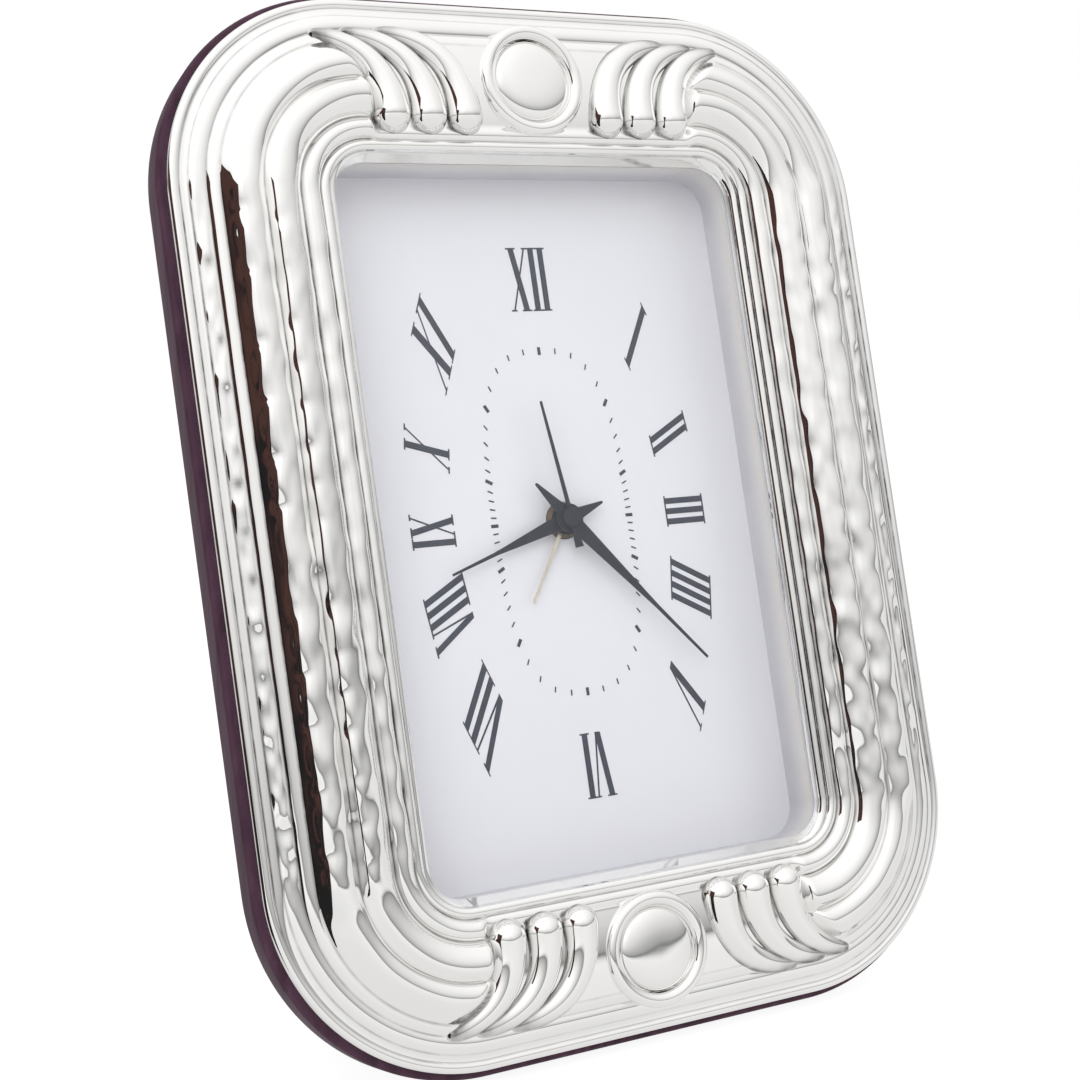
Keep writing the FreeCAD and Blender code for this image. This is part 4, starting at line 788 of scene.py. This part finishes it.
@dataclass(frozen=True)
class Lobes:
    """The rope-like lobes on both sides of a medallion, and the plain field between the outermost ones."""

    edge: float = 94.5
    foot_z: float = 72.8
    bend_z: float = 86.9
    tip_z: float = 88.1
    foot_places: tuple = (14.6, 21.7, 28.8)
    tip_places: tuple = (30.0, 36.4, 42.0)
    bend_drop: float = 0.9
    tip_drop: float = 0.35
    foot_radius: float = 3.56
    tip_radius: float = 0.5
    taper: float = 0.42
    foot_height: float = 1.7
    tip_height: float = 1.0
    lift: float = 1.18
    steps: int = 60
    cap_steps: int = 13
    facets: int = 40
    crease: float = 60.0
    # painted shade where a lobe meets the panel, heavier on its left flank
    panel_height: float = 2.4
    contact_shade_width: float = 0.75
    contact_shade_shares: tuple = (0.9, 0.6)
    # the plain field
    margin: float = 0.25
    blend: float = 0.95
    field_low: float = 61.15
    overrun: tuple = (1.5, 2.0)

    def axis(self, number: int) -> tuple[Array, ...]:
        """A lobe's axis: the quadratic curve through foot, bend and tip, with its heading and radius.

        Args:
            number: which lobe, counted from the middle.

        Returns:
            Shares of the length, x, z, heading from +Z towards +X, and radius.
        """
        share = np.linspace(0, 1, self.steps)
        rest = 1 - share
        foot_x, tip_x = self.foot_places[number], self.tip_places[number]
        bend_z, tip_z = self.bend_z - self.bend_drop * number, self.tip_z - self.tip_drop * number
        x = rest**2 * foot_x + 2 * rest * share * foot_x + share**2 * tip_x
        z = rest**2 * self.foot_z + 2 * rest * share * bend_z + share**2 * tip_z
        run_x = share * (tip_x - foot_x)
        run_z = rest * (bend_z - self.foot_z) + share * (tip_z - bend_z)
        radius = self.tip_radius + (self.foot_radius - self.tip_radius) * rest**self.taper
        return share, x, z, np.arctan2(run_x, run_z), radius

    def field_share(self, x: Array, z: Array) -> Array:
        """How far a place lies in the plain field between the outermost lobes: 1 inside, 0 outside.

        The field's edge runs beside the outermost lobe at a set margin, and the share falls smoothly across it.

        Args:
            x: places to the right.
            z: places up along the face.

        Returns:
            The share at each place.
        """
        _, axis_x, axis_z, heading, radius = self.axis(len(self.foot_places) - 1)
        reach = radius + self.margin
        edge_x, edge_z = axis_x + reach * np.cos(heading), axis_z - reach * np.sin(heading)
        edge_x = np.concatenate([edge_x[:1], edge_x, edge_x[-1:] + self.overrun[0]])
        edge_z = np.concatenate([[0.0], edge_z, [self.edge + self.overrun[1]]])
        right, up = np.abs(x), np.abs(z)
        distance = np.full(x.shape, np.inf)
        for near_x, near_z, run_x, run_z in zip(edge_x, edge_z, np.diff(edge_x), np.diff(edge_z)):
            along = ((right - near_x) * run_x + (up - near_z) * run_z) / (run_x * run_x + run_z * run_z)
            along = np.clip(along, 0, 1)
            gap = np.hypot(right - near_x - along * run_x, up - near_z - along * run_z)
            distance = np.minimum(distance, gap)
        inside = right < np.interp(up, np.maximum.accumulate(edge_z), edge_x)
        signed = np.where(inside, distance, -distance)
        return smooth_step(signed, -self.blend, self.blend) * (up > self.field_low)

    def build(self, face: FaceFrame, number: int, sign_x: int, sign_z: int) -> Piece:
        """One lobe: circles square to its axis, rounded off at the foot and drawn in at the tip.

        Args:
            face: the frame of the face.
            number: which lobe, counted from the middle.
            sign_x: 1 on the right, -1 on the left.
            sign_z: 1 at the top, -1 at the bottom.

        Returns:
            The object.
        """
        share, x, z, heading, radius = self.axis(number)
        height = (1 - share) * self.foot_height + share * self.tip_height
        cap = np.linspace(math.pi / 2, 0, self.cap_steps + 1)[:-1]
        x = np.concatenate([np.full(len(cap), x[0]), x, x[-1:]])
        z = np.concatenate([z[0] - self.foot_radius * np.sin(cap), z, z[-1:]])
        heading = np.concatenate([np.zeros(len(cap)), heading, heading[-1:]])[:, None]
        radius = np.concatenate([self.foot_radius * np.cos(cap), radius, [0.0]])[:, None]
        height = np.concatenate([np.full(len(cap), self.foot_height), height, height[-1:]])[:, None]
        around = turns(self.facets)
        side, height = radius * np.cos(around), height + self.lift * radius * np.sin(around)
        x, z = x[:, None] + side * np.cos(heading), z[:, None] - side * np.sin(heading)
        # painted shade on the lobe's front half where it rises out of the panel, darker on its left flank
        tarnish_and_shade = bell(height, self.panel_height, self.contact_shade_width) * (np.sin(around) > 0)
        tarnish_and_shade = tarnish_and_shade * np.where(sign_x * np.cos(around) < 0, *self.contact_shade_shares)
        points = face.place(sign_x * x, -height, sign_z * z)
        tarnish_and_shade = np.concatenate([tarnish_and_shade[:1], tarnish_and_shade, tarnish_and_shade[-1:]])
        return closed_surface(f"silver_lobe_{number}_{sign_x}_{sign_z}", self.shut(points), self.crease, tarnish_and_shade)

    @staticmethod
    def shut(points: Array) -> Array:
        """Closes a tube: both end rows are drawn together, and a straight return runs inside between them."""
        first, last = (np.broadcast_to(row.mean(axis=0), points[:1].shape) for row in (points[0], points[-1]))
        return np.concatenate([first, points, last])


@dataclass(frozen=True)
class Medallion:
    """A ring and a domed disc, whose height is a superellipse of the distance from its middle."""

    middle: float = 79.9
    ring_radius: float = 9.1
    ring_bar: float = 1.3
    ring_height: float = 2.6
    disc_radius: float = 7.6
    disc_base: float = 2.0
    disc_rise: float = 2.1
    disc_power: float = 2.7
    disc_depth: float = 1.0
    around_steps: int = 96
    bar_steps: int = 32
    disc_steps: int = 34
    ring_crease: float = 80.0
    disc_crease: float = 30.0

    def build(self, face: FaceFrame, sign_z: int) -> list[Piece]:
        """Builds the ring and the disc.

        Args:
            face: the frame of the face.
            sign_z: 1 at the top, -1 at the bottom.

        Returns:
            The two objects.
        """
        around, bar = turns(self.around_steps)[:, None], turns(self.bar_steps)
        reach = self.ring_radius + self.ring_bar * np.cos(bar)
        out = np.append(np.sin(np.linspace(0, math.pi / 2, self.disc_steps)), [1.0, 0.0]) * self.disc_radius
        rest = np.clip(1 - (out / self.disc_radius) ** self.disc_power, 0, 1)
        dome = self.disc_base + self.disc_rise * rest ** (1 / self.disc_power)
        dome[-2:] = self.disc_base - self.disc_depth
        bar_height = self.ring_height + self.ring_bar * np.sin(bar)
        name = "top" if sign_z > 0 else "bottom"
        pieces = []
        for kind, far, height, crease in (("ring", reach, bar_height, self.ring_crease),
                                          ("disc", out, dome, self.disc_crease)):
            points = face.place(far * np.cos(around), -height, sign_z * self.middle + far * np.sin(around))
            pieces.append(closed_surface(f"silver_medallion_{kind}_{name}", points, crease))
        return pieces


@dataclass(frozen=True)
class SilverFront:
    """The pressed silver sheet: ridges, hammered bands, plain panels, lobes and medallions."""

    half_width: float = 70.0
    half_height: float = 94.5
    corner: float = 36.0
    # inset, height, rise and steps of each arc of the ridged section
    bead: tuple = (1.7, 0.3, 0.45, 7)
    cove: tuple = (3.2, 0.7, -0.12, 5)
    dent_band: tuple = (6.2, 1.3, 0.48, 9)
    slope: tuple = (8.3, 2.3, 0.3, 5)
    outer_ridge: tuple = ((9.65, 4.62, -0.02, 9), (11.1, 5.75, 0.17, 7), (15.4, 4.1, 0.78, 13))
    middle_ridge: tuple = ((16.45, 5.4, -0.01, 7), (17.3, 5.9, 0.06, 5), (22.3, 2.7, 1.1, 15))
    inner_ridge: tuple = (26.0, 2.0, 1.4, 11)
    lip: tuple = (28.0, 1.6, 0.75, 8)
    # the same ridges round the corners, where their flanks are gentler, and how far along the face that starts
    outer_bend: tuple = ((9.65, 3.65, 0.04, 9), (11.1, 4.8, 0.04, 7), (15.4, 4.1, 0.95, 13))
    middle_bend: tuple = ((16.45, 4.95, 0.02, 7), (17.3, 5.6, 0.05, 5), (22.3, 2.7, 1.25, 15))
    bend_fade: tuple = (59.0, 68.0)
    # from the lip down to the glass: along the top and bottom, and along the sides
    low_brim: tuple = (28.45, 0.9, 0.01, 5)
    side_brim: tuple = (29.0, 1.3, 0.1, 5)
    # the plain section between the lobes
    panel: tuple = (23.6, 2.2, 0.5, 30)
    small_ridge: tuple = (26.0, 2.0, 0.5, 12)
    # inset and height of the points behind the silver and behind the filler
    underside: tuple = ((29.35, -0.5), (28.85, -0.5), (27.6, 0.7), (26.0, 1.2), (8.6, 1.5), (0.5, -0.8), (0.5, -2.0),
                        (0.0, -1.98))
    filler_underside: tuple = ((28.3, -0.3), (26.8, -0.3), (26.8, -1.98), (0.7, -1.98))
    filler_sink: float = 0.45
    # inset and darkness of each crease, painted as patina and shade, and how the darkness falls
    crease_marks: tuple = ((0.0, 0.5), (1.7, 0.95), (3.2, 0.85), (6.2, 0.75), (8.3, 0.85), (15.4, 0.6), (22.3, 0.7),
                           (26.0, 0.9), (28.0, 0.95))
    crease_width: float = 0.14
    inner_start: tuple = (8.6, 9.0)
    inner_end: tuple = (25.2, 25.6)
    inner_loss: float = 0.45
    end_share: float = 0.45
    edge_loss: float = 3.2
    # steps along the sides, along the ends and round a corner, for the silver and for the filler
    fine_steps: tuple = (0.7, 0.46, 56)
    coarse_steps: tuple = (1.2, 1.0, 30)
    crease: float = 50.0
    hammering: Hammering = Hammering()
    lobes: Lobes = Lobes()
    medallion: Medallion = Medallion()

    def section(self, bend: Array, turn: Array) -> tuple[Array, Array, Array]:
        """The ridged section at each station, and the plain section's height at the same insets.

        Args:
            bend: 0 where the section has its steep flanks, 1 where it has its gentle ones.
            turn: 0 along the top and bottom, 1 along the sides.

        Returns:
            Insets and ridged heights, shaped (stations, points), and the plain heights.
        """
        start, end = (self.bead, self.cove, self.dent_band, self.slope), (self.inner_ridge, self.lip)
        steep = self.chain(*start, *self.outer_ridge, *self.middle_ridge, *end, self.low_brim)
        gentle = self.chain(*start, *self.outer_bend, *self.middle_bend, *end, self.low_brim)
        sides = self.chain(*start, *self.outer_ridge, *self.middle_ridge, *end, self.side_brim)
        plain = self.chain(*start, self.panel, self.small_ridge, self.lip, self.low_brim)
        ridged = steep + (gentle - steep) * bend[:, None, None] + (sides - steep) * turn[:, None, None]
        return ridged[..., 0], ridged[..., 1], np.interp(ridged[..., 0], plain[:, 0], plain[:, 1])

    @staticmethod
    def chain(*arcs: tuple) -> Array:
        """Joins arcs end to end, each from the last one's end.

        Args:
            arcs: inset, height, rise and steps of each arc.

        Returns:
            The points, shaped (points, 2).
        """
        points, start = [np.zeros((1, 2))], (0.0, 0.0)
        for inset, height, rise, steps in arcs:
            points.append(arc_points(start, (inset, height), rise, steps))
            start = (inset, height)
        return np.concatenate(points)

    def tarnish_and_shade(self, inset: Array, share: Array, side: Array) -> Array:
        """How dark each place is painted, as patina and shade: a bell around every crease, fainter in the plain field
        and at the ends.

        Args:
            inset: distance in from the outer edge.
            share: how far the place lies in the plain field.
            side: 1 along the sides, 0 along the ends.

        Returns:
            The darkness, between 0 and 1.
        """
        dark = np.max([level * bell(inset, place, self.crease_width) for place, level in self.crease_marks], axis=0)
        inner = smooth_step(inset, *self.inner_start) * (1 - smooth_step(inset, *self.inner_end))
        dark *= 1 - (1 - self.inner_loss * (1 - inner)) * share
        dark *= self.end_share + (1 - self.end_share) * side
        return dark * (1 - self.edge_loss * share * (1 - share))

    def ring(self, face: FaceFrame, name: str, sink: float, under: tuple, steps: tuple) -> Piece:
        """The section carried once round the rounded path, pushed out by the hammering and in by the sink.

        Each point of the section moves along the section's own normal, which is its run turned by a right angle.

        Args:
            face: the frame of the face.
            name: the object's name.
            sink: how far the whole surface lies under the silver.
            under: inset and height of the points that close the section behind.
            steps: steps along the sides, along the ends and round a corner.

        Returns:
            The object.
        """
        path = RoundedPath(self.half_width, self.half_height, self.corner, *steps)
        _, foot_z, out_x, out_z = path.stations()
        bend = smooth_step(np.abs(foot_z + out_z * self.corner), *self.bend_fade)
        inset, ridged, plain = self.section(bend, np.abs(out_x))
        x, z = path.sweep(inset)
        share = self.lobes.field_share(x, z)
        run = np.gradient(inset, axis=1), np.gradient(ridged, axis=1)
        push = (self.hammering.push(x, z, inset) * (1 - share) - sink) / np.hypot(*run)
        height = ridged * (1 - share) + plain * share + push * run[0]
        moved = inset - push * run[1] * (1 - share)
        # painted darkness of patina and shade in the creases
        tarnish_and_shade = self.tarnish_and_shade(inset, share, self.hammering.side(path.sweep(moved)[1]))
        hidden = np.array(under)
        x, z = path.sweep(widen(moved, hidden[:, 0]))
        points = face.place(x, -widen(height, hidden[:, 1]), z)
        return closed_surface(name, points, self.crease, widen(tarnish_and_shade, np.zeros(len(hidden))))

    def build(self, bench: Bench) -> None:
        """Builds and fits every silver piece, and the filler under them.

        Args:
            bench: fits the pieces.
        """
        face = bench.face
        bench.fit(self.ring(face, "silver_ring", 0.0, self.underside, self.fine_steps), SILVER, "silver_front")
        filler = self.ring(face, "filler_ring", self.filler_sink, self.filler_underside, self.coarse_steps)
        bench.fit(filler, FILLER, "frame_filler")
        for sign_z in (1, -1):
            pieces = self.medallion.build(face, sign_z)
            for sign_x in (1, -1):
                for number in range(len(self.lobes.foot_places)):
                    pieces.append(self.lobes.build(face, number, sign_x, sign_z))
            for piece in pieces:
                bench.fit(piece, SILVER, "silver_front", replaces=False)


@dataclass(frozen=True)
class FlatRing:
    """A flat ring with a rounded-rectangle outline and rounded edges, such as the wooden body."""

    name: str
    half_width: float
    half_height: float
    corner: float
    width: float
    front: float
    back: float
    front_round: float
    back_round: float
    steps: tuple = (6.0, 6.0, 40)
    round_steps: int = 8
    crease: float = 30.0

    def build(self, face: FaceFrame) -> Piece:
        """Carries the section along the outline: quarter circles at both outer edges, then straight inside.

        Args:
            face: the frame of the face.

        Returns:
            The object.
        """
        turn = np.linspace(0, math.pi / 2, self.round_steps + 1)
        rise, fall = 1 - np.sin(turn), 1 - np.cos(turn)
        inset = np.concatenate([self.front_round * rise, self.back_round * fall, [self.width, self.width]])
        depth = np.concatenate([self.front + self.front_round * fall, self.back - self.back_round * rise,
                                [self.back, self.front]])
        x, z = RoundedPath(self.half_width, self.half_height, self.corner, *self.steps).sweep(inset)
        return closed_surface(self.name, face.place(x, depth, z), self.crease)


@dataclass(frozen=True)
class Group:
    """A sub-assembly of the model's own pieces: with edges softened by a width in millimetres, or as they are."""

    softened: tuple = ()
    kept: tuple = ()

    def build(self, bench: Bench) -> None:
        """Softens and dresses the pieces.

        Args:
            bench: fits the pieces.
        """
        for node, finish, width in self.softened:
            bench.soften(node, finish, width)
        for finish, nodes in self.kept:
            for node in nodes:
                bench.keep(node, finish)


@dataclass(frozen=True)
class WoodenBody(Group):
    """The lacquered body, the frame behind it, the back panel and its screws."""

    board: FlatRing = FlatRing("board_ring", 71.5, 96.0, 37.5, 27.5, 2.0, 8.0, 0.9, 0.6)
    inner: FlatRing = FlatRing("inner_ring", 56.0, 80.5, 20.0, 12.0, 8.0, 14.0, 0.05, 0.05)
    softened: tuple = (("back_panel", LACQUER, 0.25), ("panel_screws", STEEL, 0.2))

    def build(self, bench: Bench) -> None:
        """Builds and fits the wooden pieces.

        Args:
            bench: fits the pieces.
        """
        bench.fit(self.board.build(bench.face), LACQUER, "wooden_board")
        bench.fit(self.inner.build(bench.face), STAIN, "inner_frame")
        super().build(bench)


@dataclass(frozen=True)
class Window(Group):
    """The pane, its gasket, the surround and the printed dial."""

    kept: tuple = ((GLASS, ("glass",)), (GASKET, ("glass_gasket",)), (DIAL_PAINT, ("dial_plate",)),
                   (INK, ("dial_numerals", "minute_track")), (NATURAL_PLASTIC, ("backing_plate",)))
    # depths from the rim at which the surround's painted light starts to fade and has gone
    painted_light_depth: float = 2.5
    foot_depth: float = 8.5

    def build(self, bench: Bench) -> None:
        """Dresses the pieces behind the silver lip, with painted light on the surround that fades with its depth.

        Args:
            bench: fits the pieces.
        """
        face = bench.face
        level = float(face.origin @ face.back)
        wall = replace(PALE_PLASTIC, back=tuple(face.back), front_level=level + self.painted_light_depth * MM,
                       foot_level=level + self.foot_depth * MM)
        bench.keep("dial_surround", wall)
        super().build(bench)


@dataclass(frozen=True)
class Hands(Group):
    """The four hands."""

    kept: tuple = ((HAND_PAINT, ("hour_hand", "minute_hand", "second_hand")), (PALE_GOLD, ("alarm_hand",)))


@dataclass(frozen=True)
class Movement(Group):
    """The quartz alarm movement with its wheels, motor, circuit and cell."""

    softened: tuple = (("movement_case", BLACK_PLASTIC, 0.3), ("time_knob", BLACK_PLASTIC, 0.15),
                       ("alarm_knob", BLACK_PLASTIC, 0.15), ("case_screws", STEEL, 0.12))
    kept: tuple = (
        (BROWN_PLASTIC, ("movement_front_plate",)),
        (NATURAL_PLASTIC, ("mid_plate", "train_bridge", "intermediate_wheel", "third_wheel", "centre_wheel",
                           "minute_wheel", "hour_wheel", "alarm_wheel", "coil_bobbin", "alarm_switch")),
        (BRASS, ("second_wheel", "minute_arbor", "buzzer")),
        (MAGNET, ("rotor",)),
        (IRON, ("stator", "coil_core")),
        (COPPER, ("coil_winding",)),
        (SOLDER_MASK, ("circuit_board",)),
        (RESIN, ("circuit_chip",)),
        (STEEL, ("quartz_crystal", "contact_plus", "contact_minus")),
        (CELL, ("battery",)),
    )


@dataclass(frozen=True)
class Strut(Group):
    """The hinged leg behind the clock."""

    softened: tuple = (("strut", LACQUER, 0.4),)
    kept: tuple = ((BRASS, ("panel_leaf", "strut_leaf", "panel_leaf_screws", "strut_leaf_screws")),
                   (STEEL, ("hinge_pin",)))


class Lamp(Enum):
    """The soft lamps: the direction each stands in from the clock, and its power in watts."""

    KEY = ((-0.75, -0.9, 1.1), 9.0)
    FILL = ((1.0, -0.7, 0.55), 4.5)
    TOP = ((0.1, 0.3, 1.5), 6.0)


@dataclass(frozen=True)
class Studio:
    """Pale floor, soft lamps, a dark card that only the silver sees, and the camera."""

    lens: float = 57.8
    sensor: float = 36.0
    near_clip: float = 0.01
    shift_x: float = 0.0169
    shift_y: float = 0.088
    camera_place: tuple = (-0.1533, -0.2789, 0.1452)
    right: tuple = (0.8905, -0.4549, 0.0)
    up: tuple = (0.1054, 0.2063, 0.9728)
    forward: tuple = (0.4425, 0.8663, -0.2317)
    lamp_reach: float = 1.3
    lamp_lift: float = 0.1
    lamp_size: float = 1.1
    world_level: float = 0.62
    glow: float = 1.4
    # elevation in degrees and brightness of what the silver sees, and the tint of its light
    levels: tuple = ((-80, 0.80), (-25, 0.82), (0, 0.88), (5, 0.92), (6.5, 0.78), (8, 0.22), (9.5, 0.40), (13, 0.54),
                     (18, 0.72), (26, 0.87), (36, 0.99), (46, 1.06), (58, 1.12))
    tint: Color = (1.0, 0.997, 0.99)
    # azimuth, elevation, inner and outer radius in degrees, and the share taken away
    dips: tuple = ((-62, 33, 10, 45, -0.15), (80, 30, 15, 60, 0.1))
    floor_size: float = 6.0
    floor_color: Color = (0.86, 0.86, 0.86)
    floor_roughness: float = 0.8
    floor_glow: float = 1.12
    floor_glow_share: float = 0.8
    card_reach: float = 1.5
    card_turns: tuple = (-128.0, -66.0)
    card_rise: tuple = (-0.75, 1.05)
    card_panels: int = 8
    card_stains: tuple = ((0.47, (0.007, 0.006, 0.007)), (0.66, (0.062, 0.026, 0.021)))
    card_stain_scale: float = 5.0
    card_stain_detail: float = 3.0
    card_lift: float = 0.3

    def camera(self) -> None:
        """Sets the camera at the photograph's angle."""
        data = bpy.data.cameras.new("camera")
        data.lens, data.sensor_width, data.clip_start = self.lens, self.sensor, self.near_clip
        data.shift_x, data.shift_y = self.shift_x, self.shift_y
        view = link_object("camera", data)
        axes = Matrix((self.right, self.up, [-v for v in self.forward])).transposed()
        view.matrix_world = Matrix.Translation(self.camera_place) @ axes.to_4x4()
        bpy.context.scene.camera = view

    def lamps(self) -> None:
        """Sets the soft lamps so that they face the clock."""
        for place in Lamp:
            toward, power = place.value
            data = bpy.data.lights.new(place.name.lower(), "AREA")
            data.energy, data.shape, data.size = power, "SQUARE", self.lamp_size
            lamp = link_object(place.name.lower(), data)
            lamp.visible_glossy = lamp.visible_transmission = False
            direction = Vector(toward).normalized()
            lamp.location = direction * self.lamp_reach + Vector((0, 0, self.lamp_lift))
            lamp.rotation_euler = direction.to_track_quat("Z", "Y").to_euler()

    def world(self) -> None:
        """Makes the world white to the camera and a soft pale grey to everything else."""
        world = bpy.data.worlds.new("studio")
        bpy.context.scene.world = world
        graph = Graph(world)
        graph.tree.nodes.clear()
        path = graph.add("LightPath").outputs
        seen = graph.add("Background", {"Color": WHITE}).outputs[0]
        lit = graph.add("Background", {"Color": WHITE, "Strength": self.world_level}).outputs[0]
        glow = graph.add("Background", {"Color": self.surroundings(graph), "Strength": self.glow}).outputs[0]
        unseen = graph.blend(path["Is Glossy Ray"], lit, glow)
        graph.add("OutputWorld", {"Surface": graph.blend(path["Is Camera Ray"], unseen, seen)})

    def surroundings(self, graph: Graph) -> Socket:
        """What the silver sees: levels by elevation, with soft lighter and darker places.

        Args:
            graph: the world's graph.

        Returns:
            The colour output.
        """
        looking = graph.add("TexCoord").outputs["Generated"]
        rise = graph.add("SeparateXYZ", {0: looking}).outputs["Z"]
        stops = tuple((0.5 + 0.5 * math.sin(math.radians(elevation)), tuple(level / self.glow * v for v in self.tint))
                      for elevation, level in self.levels)
        color = graph.ramp(graph.math("MULTIPLY_ADD", rise, 0.5, 0.5), stops)
        for azimuth, elevation, inner, outer, depth in self.dips:
            near = graph.dot(looking, self.direction(azimuth, elevation))
            start, end = math.cos(math.radians(outer)), math.cos(math.radians(inner))
            left = graph.spread(near, 1.0, 1.0 - depth, start, end, "SMOOTHSTEP")
            color = graph.add("VectorMath", {0: color, "Scale": left}, operation="SCALE").outputs["Vector"]
        return color

    @staticmethod
    def direction(azimuth: float, elevation: float) -> tuple[float, float, float]:
        """The direction at an azimuth, 0 to the front and positive to the right, and an elevation, in degrees."""
        turn, tilt = math.radians(azimuth), math.radians(elevation)
        return math.sin(turn) * math.cos(tilt), -math.cos(turn) * math.cos(tilt), math.sin(tilt)

    def sheet(self, name: str, paint: str, points: list, faces: list) -> tuple[Piece, Graph]:
        """Makes one sheet of the stage with its own material.

        Args:
            name: the name of the object.
            paint: the name of its material.
            points: its places in metres.
            faces: which points each face joins.

        Returns:
            The object and its material's graph.
        """
        mesh = bpy.data.meshes.new(name)
        mesh.from_pydata(points, [], faces)
        material = bpy.data.materials.new(paint)
        mesh.materials.append(material)
        return link_object(name, mesh), Graph(material)

    def floor(self) -> None:
        """Lays the floor: near white to the camera, with a faint shadow."""
        half = self.floor_size / 2
        corners = [(-half, -half, 0), (half, -half, 0), (half, half, 0), (-half, half, 0)]
        plane, graph = self.sheet("floor", "floor_paper", corners, [(0, 1, 2, 3)])
        plane.visible_glossy = False
        shader = graph.find("BSDF_PRINCIPLED")
        graph.fill(shader, {"Base Color": (*self.floor_color, 1.0), "Roughness": self.floor_roughness})
        glow = graph.add("Emission", {"Strength": self.floor_glow}).outputs[0]
        share = graph.math("MULTIPLY", graph.add("LightPath").outputs["Is Camera Ray"], self.floor_glow_share)
        graph.fill(graph.find("OUTPUT_MATERIAL"), {"Surface": graph.blend(share, shader.outputs[0], glow)})

    def card(self) -> None:
        """Stands a dark warm card far behind the clock's left, seen only in reflections."""
        count = self.card_panels + 1
        ring = np.array([self.direction(turn, 0.0) for turn in np.linspace(*self.card_turns, count)]) * self.card_reach
        low, high = ring.copy(), ring.copy()
        low[:, 2], high[:, 2] = self.card_rise
        faces = [(k, k + 1, count + k + 1, count + k) for k in range(self.card_panels)]
        card, graph = self.sheet("dark_card", "dark_card", np.concatenate([low, high]).tolist(), faces)
        place = graph.add("TexCoord").outputs["Object"]
        rise = graph.add("SeparateXYZ", {0: place}).outputs["Z"]
        stain = graph.noise(place, self.card_stain_scale, self.card_stain_detail)
        color = graph.ramp(graph.math("MULTIPLY_ADD", rise, self.card_lift, stain), self.card_stains)
        graph.fill(graph.find("BSDF_PRINCIPLED"), {"Base Color": (0.0, 0.0, 0.0, 1.0), "Roughness": 1.0,
                                                   "Emission Strength": 1.0, "Emission Color": color})
        for ray in ("camera", "shadow", "diffuse", "transmission"):
            setattr(card, "visible_" + ray, False)

    def build(self) -> None:
        """Sets up the whole studio."""
        bpy.context.scene.view_settings.view_transform = "Standard"
        self.floor()
        self.card()
        self.lamps()
        self.world()
        self.camera()


def main() -> None:
    """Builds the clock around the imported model."""
    logging.basicConfig(level=logging.INFO, format="%(name)s %(message)s")
    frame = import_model()
    bpy.context.view_layer.update()
    bench = Bench(frame)
    for group in (SilverFront(), WoodenBody(), Window(), Hands(), Movement(), Strut()):
        group.build(bench)
    Studio().build()
    bpy.context.view_layer.update()


if __name__ == "__main__":
    main()
